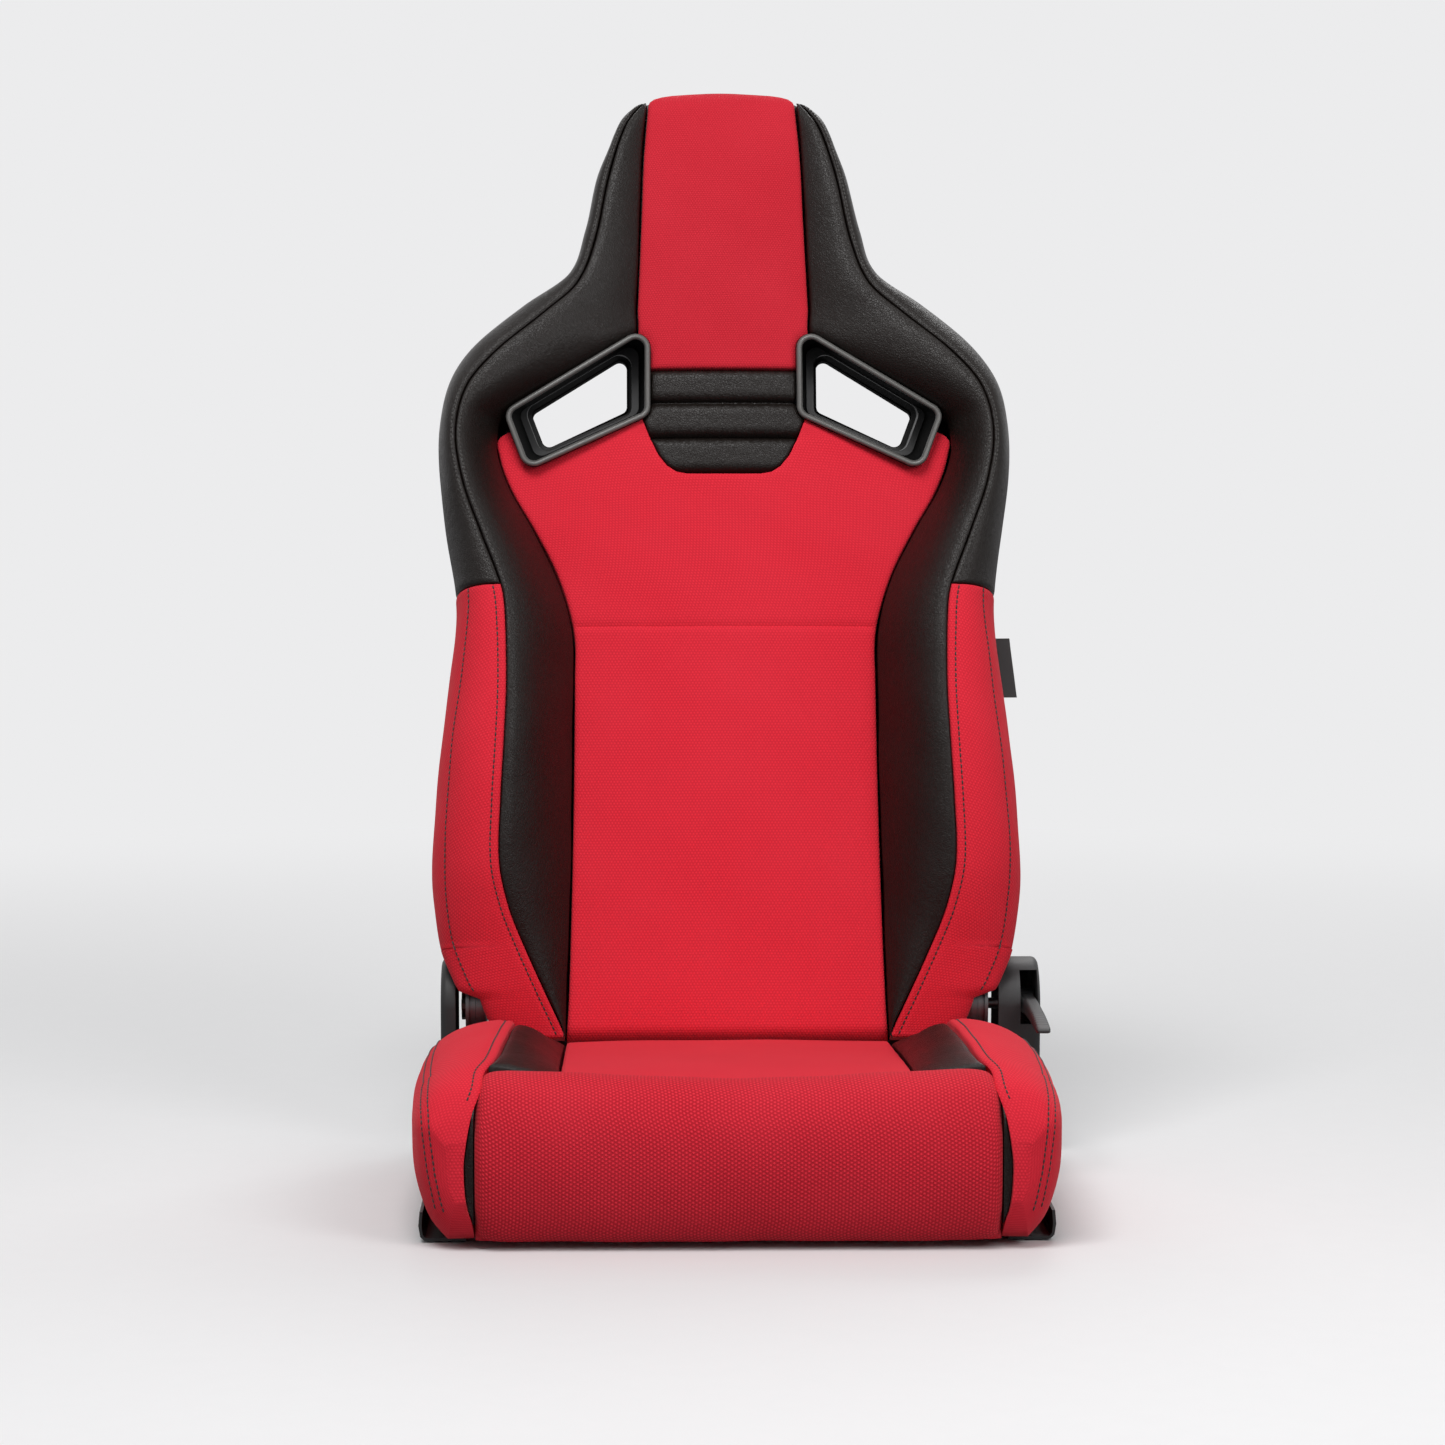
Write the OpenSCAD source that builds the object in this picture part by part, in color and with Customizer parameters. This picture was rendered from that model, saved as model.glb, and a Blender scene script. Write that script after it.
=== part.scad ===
// Reclining sports seat: upholstered bucket with harness slots, round recliners and a release lever.
// Origin: centre of the base bolt pattern, on the underside of the side rails. The seat faces -Y.
// The backrest is drawn in its own frame: x across, n out of its front, s up along it from the pivot.

/* [Base] */
// Distance between the left and right base bolts
bolt_x = 400; // [380:1:410]
// Distance between the front and rear base bolts
bolt_y = 315; // [280:1:330]
// Diameter of the holes for the M8 base bolts
bolt_hole_d = 8.5; // [6.6:0.1:10.5]
// Width over the outer faces of the two side frames
frame_w = 449; // [444:1:450]
// Sheet thickness of the side frames
frame_t = 2.5; // [2:0.1:3]
// Height of the side frames along the cushion
frame_h = 54; // [46:1:56]
// Width of the rail flange that the bolts go through
flange_w = 38; // [34:1:42]
// Thickness of the rail flange
flange_t = 3; // [2.5:0.1:4]
// Outer diameter of the cross tubes between the side frames
cross_tube_d = 25; // [20:1:28]
// Position of the front cross tube, from the bolt centre
front_tube_y = -172; // [-176:1:-160]
// Position of the rear cross tube, from the bolt centre
rear_tube_y = 128; // [120:1:134]
// Height of both cross tubes' centres
cross_tube_z = 32; // [28:1:34]
// Number of zigzag springs under the cushion
seat_springs = 4; // [3:1:5]
// Wire diameter of the zigzag springs
spring_wire = 3.8; // [3.4:0.1:4.2]

/* [Recliner] */
// Position of the backrest pivot behind the bolt centre
pivot_y = 240; // [238:1:244]
// Height of the backrest pivot
pivot_z = 135; // [133:1:138]
// Angle of the backrest from upright, as shown
recline = 16; // [14:1:18]
// Diameter of the round recliner units
disc_d = 64; // [58:1:66]
// Thickness of each half of a recliner unit
disc_half_t = 6; // [5:0.5:6]
// Diameter of the spigot that centres the two halves
spigot_d = 30; // [24:1:34]
// Diameter of the cross shaft that releases both units
shaft_d = 10; // [9:0.5:12]
// Radial running clearance of the shaft and the spigots
run_gap = 0.06; // [0.04:0.01:0.1]
// Sheet thickness of the recliner brackets and arms
bracket_t = 3; // [2.5:0.5:3]
// Length of the release lever, from the pivot to its tip
lever_l = 186; // [170:1:190]
// Width of the lever paddle
lever_w = 13; // [11:1:14]
// Thickness of the lever paddle
lever_t = 5; // [4:0.5:7]
// Wall of the moulded side covers
cover_t = 2.5; // [2:0.1:3]
// Depth of the lever side cover, outwards
cover_depth = 39; // [38:1:42]
// Depth of the far side cover, outwards
far_cover_depth = 14; // [12:1:18]

/* [Cushion] */
// Height of the sitting surface at its front
sit_z = 139; // [134:1:142]
// Fall of the sitting surface from front to rear
sit_fall = 30; // [28:1:34]
// Half width of the cushion's centre panel
centre_half = 147; // [142:1:150]
// Half width of the front roll
roll_half = 216; // [212:1:218]
// Front of the front roll
roll_front_y = -268; // [-272:1:-262]
// Height of the foam's lower edge above the floor
foam_z = 7; // [5:1:10]
// Height of the top of the side bolsters
bolster_z = 156; // [150:1:158]
// Thickness of the cushion bolsters outside the side frames
side_foam = 47.5; // [45:0.5:50]
// Gap between neighbouring upholstered pieces
seam_gap = 0.6; // [0.4:0.1:1]

/* [Backrest] */
// Length of the backrest above the pivot
back_l = 884; // [878:1:890]
// Depth of the foam behind the front faces, to the frame space
foam_back = 12; // [10:1:14]
// Depth of the rear cover behind the pivot plane, at the middle
cover_back = 72; // [70:1:75]
// Wall of the rear cover
rear_cover_t = 3; // [2.5:0.1:3.5]
// Diameter of the backrest frame tubes
back_tube_d = 20; // [18:1:22]
// Diameter of the wires that carry the backrest foam
back_wire_d = 4; // [3:0.5:5]
// Width of the rim of the harness slots
rim_w = 5.5; // [5:0.5:7]
// Wall of the harness ducts
duct_t = 2.4; // [2:0.1:3]
// Narrowing of the harness ducts towards the rear, as a share of the front
duct_taper = 0.7; // [0.65:0.01:0.8]

/* [Hidden] */
$fn = 48;

red = [0.72, 0.07, 0.11];
black = [0.07, 0.065, 0.06];
steel = [0.35, 0.35, 0.36];
zinc = [0.68, 0.69, 0.7];
grey = [0.3, 0.3, 0.3];

// Heights on the backrest where panels start and end
back_foot = -40;
wing_foot = -30;
bolster_foot = -30;
ledge_s = 42;
colour_line = 374;
head_line = 872;
// Radius round the pivot that the upholstery beside the recliners stays out of
clear_r = 47;
slot_s = 562;
slot_x = 135;
slot_tilt = 0.06;
slot_n = 33;
// Rise of the slots towards the rear, which makes them level in the leaning backrest
slot_rise = 0.25;

// The recliner stack, outwards from the backrest's arm
arm_x = frame_w / 2 - bracket_t - 0.5;
moving_x = arm_x + bracket_t;
fixed_x = moving_x + disc_half_t + 0.3;
bracket_x = fixed_x + disc_half_t;
cover_x = frame_w / 2 + 23.5;
lever_x = frame_w / 2 + 46;

// Smooth curve through pairs [place, value], level past its ends
function span(p, s, i = 0) = (i >= len(p) - 2 || s < p[i + 1][0]) ? i : span(p, s, i + 1);
function rise(p, i) =
  let(a = p[max(i - 1, 0)], b = p[min(i + 1, len(p) - 1)]) (b[1] - a[1]) / (b[0] - a[0]);
function curve(p, s) =
  let(i = span(p, s), h = p[i + 1][0] - p[i][0], t = min(1, max(0, (s - p[i][0]) / h)))
  (2 * pow(t, 3) - 3 * t * t + 1) * p[i][1] + (pow(t, 3) - 2 * t * t + t) * h * rise(p, i)
  + (3 * t * t - 2 * pow(t, 3)) * p[i + 1][1] + (pow(t, 3) - t * t) * h * rise(p, i + 1);
function mix(a, b, t) = a + (b - a) * t;

// Half widths of the backrest's seams, by height along the back
insert_edge = [[-34, 147], [0, 145], [140, 141.5], [300, 140], [345, 141], [397, 155.5], [440, 176.5],
  [480, 199], [515, 211], [534, 209], [548, 172], [562, 120]];
wing_edge = [[-34, 147], [0, 145], [140, 141.5], [300, 140], [345, 141], [397, 155.5], [440, 176.5],
  [480, 199], [515, 211], [534, 211], [548, 207], [560, 190], [590, 138], [610, 104], [628, 83],
  [660, 81], [740, 77.6], [810, 75], [863, 71]];
crest_edge = [[-34, 149], [-3, 164], [40, 184], [74, 198], [114, 207], [170, 206], [225, 203],
  [281, 201], [348, 203], [374, 207], [426, 226], [476, 243], [526, 250], [571, 240], [607, 213],
  [647, 169], [678, 138], [723, 121], [784, 109], [820, 100], [843, 92], [858, 84],
  [866, 78], [872, 73]];
outer_edge = [[-34, 200], [-14, 226], [14, 250], [45, 262], [89, 269], [125, 270], [181, 267], [237, 262],
  [295, 255], [353, 249.5], [382, 251], [440, 260], [499, 267], [539, 266.5], [584, 257], [620, 234],
  [660, 190], [692, 147], [736, 131], [790, 119], [820, 108.5], [838, 102.5], [854, 95], [866, 84],
  [872, 77.5], [878, 68]];

// How far the faces stand out of the backrest's pivot plane, by height along the back
face_n = [[-40, 37], [-28, 45], [45, 43], [140, 41], [235, 38], [340, 34], [400, 32], [480, 31],
  [530, 30], [640, 27], [740, 24], [810, 17], [858, 8], [873, 2], [880, -3], [884, -6]];
crest_n = [[-34, 52], [-3, 64], [40, 80], [74, 94], [114, 108], [170, 117], [225, 120], [281, 117],
  [348, 110], [426, 98], [476, 91], [526, 84], [571, 76], [607, 67], [647, 56], [678, 49], [723, 42],
  [784, 35], [843, 22], [860, 12], [872, 5]];
cover_fall = [[-42, 30], [-20, 20], [30, 8], [150, 0], [300, 0], [450, 6], [495, 10], [560, 10.6],
  [630, 10.6], [750, 20], [850, 28], [880, 42]];

// The backrest is drawn to this height, and its length stretches the part above the harness slots
drawn_top = 884;
stretch_s = 650;
function up(s) = s < stretch_s ? s : mix(stretch_s, back_l, (s - stretch_s) / (drawn_top - stretch_s));
function back_point(x, n, s) = [x, -n, up(s)];

// Heights of the backrest's cross-sections, which neighbouring panels share
back_rows = [-40, -30, -14, -4, 14, 42, 48, 66, 89, 125, 181, 237, 295, 340, 346, 350, 354, 374, 400,
  440, 480, 500, 515, 534, 548, 558, 584, 607, 630, 650, 672, 695, 736, 798, 839, 854, 863, 868, 872];
function rows_between(a, b) = [for (s = back_rows) if (s >= a && s <= b) s];

// Closed skin over rings of points, each ring on one plane. Rings that run the other way are turned.
function total(v) = [for (p = v) 1] * v;
function winding(r) = total([for (i = [0:len(r) - 1]) cross(r[i], r[(i + 1) % len(r)])]);
function turned(r) = [for (i = [len(r) - 1:-1:0]) r[i]];
module loft(rings) {
  k = len(rings[0]);
  count = len(rings);
  along = total(rings[1]) - total(rings[0]);
  rows = winding(rings[1]) * along < 0 ? rings : [for (r = rings) turned(r)];
  sides = [for (j = [0:count - 2], i = [0:k - 1])
    let(a = j * k + i, b = j * k + (i + 1) % k) each [[a, b, b + k], [a, b + k, a + k]]];
  caps = [[for (i = [k - 1:-1:0]) i], [for (i = [0:k - 1]) (count - 1) * k + i]];
  polyhedron([for (r = rows) each r], concat(sides, caps), convexity = 8);
}

module on_back() {
  translate([0, pivot_y, pivot_z]) rotate([-recline, 0, 0]) children();
}
module both_sides() {
  children();
  mirror([1, 0, 0]) children();
}
module on_side(left) {
  mirror([left ? 0 : 1, 0, 0]) children();
}

// ---- Backrest upholstery, left half drawn at +X and mirrored for the right ----

function crown(t) = 1 - pow(abs(2 * t - 1), 2.4);
function wing_ring(s) =
  let(a = curve(wing_edge, s) + seam_gap / 2, b = curve(crest_edge, s) - seam_gap / 2,
    low = curve(face_n, s), high = curve(crest_n, s), back = s < 10 ? 16 : -foam_back)
  concat([back_point(b, back, s), back_point(a, back, s), back_point(a, low - 3, s)],
    [for (t = [0.06, 0.25, 0.45, 0.65, 0.85, 0.97])
      back_point(mix(a, b, t), low + (high - low) * (1 - pow(1 - t, 1.6)) + 2 * crown(t), s)],
    [back_point(b, high - 3, s)]);
function outer_ring(s, back) =
  let(a = curve(crest_edge, s) + seam_gap / 2, b = curve(outer_edge, s), high = curve(crest_n, s),
    low = max(back + 4, high * 0.35))
  concat([back_point(a, back, s), back_point(a, high - 3, s)],
    [for (t = [10, 30, 48, 66, 84])
      back_point(a + (b - a) * pow(sin(t), 0.9), low + (high - low) * pow(cos(t), 0.8), s)],
    [back_point(b, low - 2, s), back_point(b - 3, back, s)]);

module slot_outline(grow = 0) {
  corner = 14;
  offset(r = corner) offset(delta = grow - corner)
    polygon([[68.5, 645], [68.5, 554], [186, 497], [208, 556]]);
}
// Draws along the harness slot, which opens outwards as it nears the shoulder
module in_slot() {
  multmatrix([[1, 0, 0, 0], [-slot_tilt, 0, -1, slot_tilt * slot_x - slot_n], [0, 1, -slot_rise, 0]])
    children();
}
module slot_hole() {
  in_slot() translate([0, 0, -140]) linear_extrude(height = 240) slot_outline(0.4);
}

module wing_pad() {
  difference() {
    loft([for (s = rows_between(wing_foot, head_line)) wing_ring(s)]);
    slot_hole();
  }
}
module wing_pad_left() { color(black) on_back() on_side(true) wing_pad(); }
module wing_pad_right() { color(black) on_back() on_side(false) wing_pad(); }

module side_bolster() {
  // Below the ledge it is only a flap in front of the recliner
  loft(concat([for (s = rows_between(bolster_foot, ledge_s)) outer_ring(s, clear_r + min(0, s) * 0.5)],
    [for (s = rows_between(ledge_s + 1, colour_line - 1)) outer_ring(s, -foam_back)],
    [outer_ring(colour_line - seam_gap, -foam_back)]));
}
module side_bolster_left() { color(red) on_back() on_side(true) side_bolster(); }
module side_bolster_right() { color(red) on_back() on_side(false) side_bolster(); }

module shoulder_side() {
  difference() {
    loft([for (s = rows_between(colour_line, head_line)) outer_ring(s, -foam_back)]);
    slot_hole();
  }
}
module shoulder_side_left() { color(black) on_back() on_side(true) shoulder_side(); }
module shoulder_side_right() { color(black) on_back() on_side(false) shoulder_side(); }

function insert_ring(s, half, back) =
  let(a = half - seam_gap / 2, top = curve(face_n, s) - (abs(s - 350) < 1 ? 3 : 0))
  concat([back_point(a, back, s), back_point(a, top - 3, s)],
    [for (t = [0.97, 0.8, 0.4, 0, -0.4, -0.8, -0.97]) back_point(t * a, top + 3 * crown((t + 1) / 2), s)],
    [back_point(-a, top - 3, s), back_point(-a, back, s)]);

module neck_outline(grow = 0) {
  offset(delta = grow) polygon([for (side = [1, -1])
    each [for (p = side > 0 ? neck_edge : [for (i = [len(neck_edge) - 1:-1:0]) neck_edge[i]])
      [side * p[0], p[1]]]]);
}
neck_edge = [[76, 599], [76, 549], [70, 533], [61, 514], [53, 504], [44, 498.6], [34, 497]];

module back_insert() {
  color(red) on_back() difference() {
    loft([for (s = rows_between(back_foot, 558))
      insert_ring(s, curve(insert_edge, s), s < 10 ? 16 : -foam_back)]);
    both_sides() slot_hole();
    rotate([90, 0, 0]) translate([0, 0, -60]) linear_extrude(height = 160) neck_outline(seam_gap);
  }
}

module neck_pad() {
  color(black) on_back() difference() {
    intersection() {
      // Three pillows between the two channels
      loft([for (p = [[490, -4], [497, 0], [515, 3], [527, 1], [532, -3], [537, 1], [549, 3], [561, 1],
        [566, -3], [571, 1], [585, 3], [594, 1], [599, -3]])
        let(top = curve(face_n, p[0]) + p[1])
        [for (q = [[80, -foam_back], [80, top - 5], [66, top], [0, top + 3], [-66, top], [-80, top - 5],
          [-80, -foam_back]]) back_point(q[0], q[1], p[0])]]);
      rotate([90, 0, 0]) translate([0, 0, -60]) linear_extrude(height = 160) neck_outline();
    }
    both_sides() slot_hole();
  }
}

// The head's front rolls over its top edge, in front of the band
head_arch = [[872, 68], [876, 60], [880, 43], [883, 20]];
function head_half(s) = s > 870 ? curve(head_arch, s) : min(83, curve(wing_edge, s));
module head_insert() {
  color(red) on_back() difference() {
    loft([for (s = concat(599.6, rows_between(600, head_line), 872.4, 876, 880, 883))
      insert_ring(s, head_half(s), s > 872 ? band_n : -foam_back)]);
    both_sides() slot_hole();
  }
}

// The narrow band that closes the head behind the front's top edge
band_n = -9;
module head_band() {
  front = band_n - 0.4;
  half = [[0, 883.6], [20, 882.6], [43, 879.6], [60, 876], [69, 874.4]];
  rings = [for (q = half) [[q[0], -foam_back, 872.8], [q[0], front, 872.8], [q[0], front, q[1] - 0.6],
    [q[0], mix(front, -foam_back, 0.6), q[1]], [q[0], -foam_back, q[1]]]];
  color(black) on_back() loft(concat(
    [for (i = [len(rings) - 1:-1:1]) [for (p = rings[i]) back_point(-p[0], p[1], p[2])]],
    [for (r = rings) [for (p = r) back_point(p[0], p[1], p[2])]]));
}

module side_tag() {
  // A bare cloth tag on the outer face of the left bolster
  color(black) on_back() loft([for (s = [282, 310, 338])
    let(b = curve(outer_edge, s), low = curve(crest_n, s) * 0.35 - 2, slope = 3 / (low + foam_back))
    [for (q = [[0.5, 6], [1.7, 6], [1.7, 18], [0.5, 18]])
      back_point(b - slope * (low - q[1]) + q[0], q[1], s)]]);
}

// ---- Harness slots ----

duct_l = 100;
ring_y = cover_back - 9.4;
module taper(length, grow) {
  translate([slot_x, slot_s, 0]) mirror([0, 0, 1]) linear_extrude(height = length, scale = duct_taper)
    translate([-slot_x, -slot_s]) slot_outline(grow);
}
module harness_duct() {
  difference() {
    in_slot() difference() {
      union() {
        taper(duct_l, -1);
        linear_extrude(height = 5) slot_outline(-0.2);
        translate([0, 0, 5]) linear_extrude(height = 2) slot_outline(-1.4);
      }
      translate([0, 0, 0.01]) taper(duct_l + 1, -1 - duct_t);
      translate([0, 0, -1]) linear_extrude(height = 20) slot_outline(-rim_w);
    }
    // Cut square behind, inside the rear cover
    translate([0, ring_y, 400]) cube([300, 60, 300]);
  }
}
module harness_duct_left() { color(grey) on_back() on_side(true) harness_duct(); }
module harness_duct_right() { color(grey) on_back() on_side(false) harness_duct(); }

// Width of the duct left at the rear cover, as a share of its front
rear_share = 1 - (1 - duct_taper) * (slot_n + ring_y) / duct_l;
module rear_slot_outline(grow) {
  offset(delta = grow) translate([slot_x, slot_s + slot_rise * (slot_n + ring_y)]) scale(rear_share)
    translate([-slot_x, -slot_s]) slot_outline(-1);
}
module duct_rear_ring() {
  translate([0, ring_y, 0]) rotate([90, 0, 0]) mirror([0, 0, 1]) linear_extrude(height = 8)
    difference() {
      rear_slot_outline(5);
      rear_slot_outline(-duct_t - 0.5);
    }
}
module duct_rear_ring_left() { color(grey) on_back() on_side(true) duct_rear_ring(); }
module duct_rear_ring_right() { color(grey) on_back() on_side(false) duct_rear_ring(); }

// ---- Backrest structure ----

function cover_half(s) = s < 46 ? 216 : curve(outer_edge, s) - 3;
function cover_ring(s, wall) =
  let(a = cover_half(s) - wall, deep = cover_back - curve(cover_fall, s) - wall,
    front = wall > 0 ? 0 : foam_back + 0.4)
  concat([for (q = [[1, 0], [1, 0.45], [0.985, 0.68], [0.93, 0.87], [0.82, 0.97], [0.6, 1], [0, 1.03]])
      back_point(a * q[0], -(front + (deep - front) * q[1]), s)],
    [for (q = [[0.6, 1], [0.82, 0.97], [0.93, 0.87], [0.985, 0.68], [1, 0.45], [1, 0]])
      back_point(-a * q[0], -(front + (deep - front) * q[1]), s)]);
cover_rows = [-42, 10, 44, 50, 89, 140, 200, 260, 320, 380, 440, 499, 539, 584, 620, 650, 692, 736,
  798, 839, 866, 876];
module rear_cover() {
  color(black) on_back() difference() {
    loft([for (s = cover_rows) cover_ring(s, 0)]);
    loft(concat([cover_ring(cover_rows[0] + rear_cover_t, rear_cover_t)],
      [for (s = cover_rows) if (s > 0 && s < 870)
        cover_ring(s + (s == 50 ? rear_cover_t : 0), rear_cover_t)],
      [cover_ring(876 - rear_cover_t, rear_cover_t)]));
    both_sides() rotate([90, 0, 0]) translate([0, 0, -120]) linear_extrude(height = 90)
      rear_slot_outline(2.8);
    // Where the recliner arms and the lower cross tube come through
    both_sides() translate([arm_x - 1.5, foam_back - 1, 24]) cube([bracket_t + 3, 42, 44]);
    translate([-300, cross_depth, cross_s]) rotate([0, 90, 0]) cylinder(d = back_tube_d + 1, h = 600);
  }
}

// Round tube swept through a run of points. flat is a direction that no stretch of the run follows.
function unit(v) = v / norm(v);
module tube_run(points, d, flat, sides = 10) {
  last = len(points) - 1;
  loft([for (i = [0:last])
    let(before = unit(points[max(i, 1)] - points[max(i, 1) - 1]),
      after = unit(points[min(i, last - 1) + 1] - points[min(i, last - 1)]),
      ahead = unit(before + after), a = unit(cross(flat, ahead)), b = cross(ahead, a),
      stretch = 1 / max(0.5, before * ahead))
    [for (k = [0:sides - 1]) points[i] + d / 2 * (stretch * cos(360 * k / sides) * a
      + sin(360 * k / sides) * b)]]);
}

tube_n = -23;
tube_x = arm_x - back_tube_d / 2;
cross_s = 20;
cross_depth = 30;
module back_frame_tube() {
  // One bent hoop: up one side, in over the harness slot, across the head and down again
  half = [for (p = [[tube_x, 0, 62], [tube_x, 0, 480], [218, 0, 540], [218, 0, 590], [204, 0, 618],
      [150, 0, 655], [104, 4, 684], [86, 5, 714], [80, 0, 812], [68, 1, 830]])
    back_point(p[0], tube_n - p[1], p[2])];
  other = [for (i = [len(half) - 1:-1:0]) [-half[i][0], half[i][1], half[i][2]]];
  color(steel) on_back() tube_run(concat(half, other), back_tube_d, [0, 1, 0], 12);
}
module back_cross_tube() {
  color(steel) on_back() translate([-arm_x, cross_depth, cross_s]) rotate([0, 90, 0])
    cylinder(d = back_tube_d, h = 2 * arm_x);
}
module back_wires() {
  half = tube_x - back_tube_d / 2 + 3;
  color(steel) on_back() for (s = [110, 190, 270, 350])
    difference() {
      translate([-half, foam_back + 0.4 + back_wire_d / 2, s]) rotate([0, 90, 0])
        cylinder(d = back_wire_d, h = 2 * half);
      both_sides() translate([tube_x, -tube_n, s - 10]) cylinder(d = back_tube_d + 0.1, h = 20);
    }
}

// ---- Recliners, from the backrest arm outwards: arm, moving disc, fixed disc, bracket ----

module at_pivot(x) {
  translate([x, pivot_y, pivot_z]) rotate([0, 90, 0]) children();
}
module recliner_disc_rim() {
  // Shallow round steps of the pressed disc
  difference() {
    cylinder(d = disc_d, h = disc_half_t);
    translate([0, 0, disc_half_t - 1]) difference() {
      cylinder(d = disc_d - 8, h = 2);
      translate([0, 0, -1]) cylinder(d = spigot_d + 10, h = 4);
    }
  }
}
module recliner_arm() {
  // Swings with the backrest, so it is drawn in the backrest's own frame
  difference() {
    translate([arm_x, 0, 0]) rotate([90, 0, 90]) linear_extrude(height = bracket_t) difference() {
      union() {
        circle(d = disc_d - 2);
        polygon([[0, 28], [-13, 22], [30, 5], [42, 34], [43, 60], [43, 186], [38, 194], [24, 194], [18, 186],
          [18, 60], [15, 44]]);
      }
      for (s = [110, 170]) translate([-tube_n, s]) circle(d = 8.4);
      circle(d = shaft_d + 2);
    }
    for (a = [60:60:360]) rotate([a, 0, 0]) translate([arm_x - 1, 0, 21]) rotate([0, 90, 0])
      cylinder(d = 6, h = 6);
  }
}
module recliner_arm_left() { color(zinc) on_back() on_side(true) recliner_arm(); }
module recliner_arm_right() { color(zinc) on_back() on_side(false) recliner_arm(); }

module recliner_moving_discs() {
  color(zinc) both_sides() at_pivot(moving_x) difference() {
    translate([0, 0, disc_half_t]) mirror([0, 0, 1]) recliner_disc_rim();
    translate([0, 0, -1]) cylinder(r = spigot_d / 2 + run_gap, h = disc_half_t + 2);
  }
}
module recliner_fixed_discs() {
  color(zinc) both_sides() at_pivot(fixed_x) difference() {
    union() {
      recliner_disc_rim();
      translate([0, 0, 2 - disc_half_t]) cylinder(d = spigot_d, h = disc_half_t - 1);
    }
    translate([0, 0, -disc_half_t]) cylinder(r = shaft_d / 2 + run_gap, h = 3 * disc_half_t);
  }
}

leg_y = [pivot_y - 28, pivot_y + 28];
leg_bolts = [[pivot_y - 16, 34], [pivot_y + 16, 34]];
joggle_z = pivot_z - 62;
module recliner_bracket() {
  out = bracket_x - frame_w / 2;
  difference() {
    intersection() {
      rotate([90, 0, 0]) translate([frame_w / 2, 0, -400]) linear_extrude(height = 400)
        polygon([[0, 18], [bracket_t, 18], [bracket_t, joggle_z - 1], [out + bracket_t, joggle_z + out],
          [out + bracket_t, 200], [out, 200], [out, joggle_z + out + 2], [0, joggle_z + 1]]);
      translate([200, 0, 0]) rotate([90, 0, 90]) linear_extrude(height = 80) {
        translate([pivot_y, pivot_z]) circle(d = disc_d + 8);
        translate([leg_y[0], 18]) square([leg_y[1] - leg_y[0], pivot_z - 30]);
      }
    }
    at_pivot(200) cylinder(d = shaft_d + 2, h = 80);
    for (b = leg_bolts) translate([200, b[0], b[1]]) rotate([0, 90, 0]) cylinder(d = 10.4, h = 80);
  }
}
module recliner_bracket_left() { color(zinc) on_side(true) recliner_bracket(); }
module recliner_bracket_right() { color(zinc) on_side(false) recliner_bracket(); }

module recliner_bolts() {
  inner = frame_w / 2 - frame_t;
  color(zinc) both_sides() for (b = leg_bolts) translate([inner, b[0], b[1]]) rotate([0, 90, 0]) {
    cylinder(d = 10, h = frame_t + bracket_t + 0.3);
    translate([0, 0, frame_t + bracket_t]) cylinder(d = 20, h = 2);
    translate([0, 0, frame_t + bracket_t + 1]) cylinder(d = 16 / cos(30), h = 7, $fn = 6);
    translate([0, 0, -8]) cylinder(d = 16 / cos(30), h = 8, $fn = 6);
  }
}

// ---- Release: one shaft through both recliners, and the lever on its left end ----

module release_shaft() {
  far = bracket_x + bracket_t + 5;
  near = lever_x + lever_w - 1;
  color(zinc) at_pivot(-far) cylinder(d = shaft_d, h = far + near);
}
module release_lever() {
  arm = linear_arm(lever_l);
  color(black) at_pivot(lever_x) difference() {
    union() {
      cylinder(d = 30, h = lever_w);
      rotate([0, 0, 90]) linear_extrude(height = lever_w) difference() {
        offset(r = 2, $fn = 24) offset(delta = -2) polygon(arm);
        circle(d = shaft_d + 4);
      }
    }
    translate([0, 0, -1]) cylinder(d = shaft_d, h = lever_w + 2);
  }
}
// Side outline of the lever: thick at the hub, thin and slightly arched at the paddle
function linear_arm(l) = concat(
  [for (t = [0:0.125:1]) [-8 - (l - 8) * t, 11 - (11 - lever_t / 2) * pow(t, 0.6) + 4 * crown(t)]],
  [for (t = [1:-0.125:0]) [-8 - (l - 8) * t, -9 + (9 - lever_t / 2) * pow(t, 0.6) + 2 * crown(t)]]);

// Flat spiral that turns the shaft back, in the far side cover
spring_turns = 3;
module lever_return_spring() {
  x = -(bracket_x + bracket_t + 2.5);
  step = 2.6;
  inner = shaft_d / 2 + 0.4;
  rows = [for (a = [0:20:360 * spring_turns]) [a, inner + step * a / 360]];
  color(steel) translate([x - 2, pivot_y, pivot_z]) rotate([0, 90, 0]) linear_extrude(height = 4)
    polygon(concat([for (q = rows) q[1] * [cos(q[0]), sin(q[0])]],
      [for (i = [len(rows) - 1:-1:0]) (rows[i][1] + 1) * [cos(rows[i][0]), sin(rows[i][0])]]));
}

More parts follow.
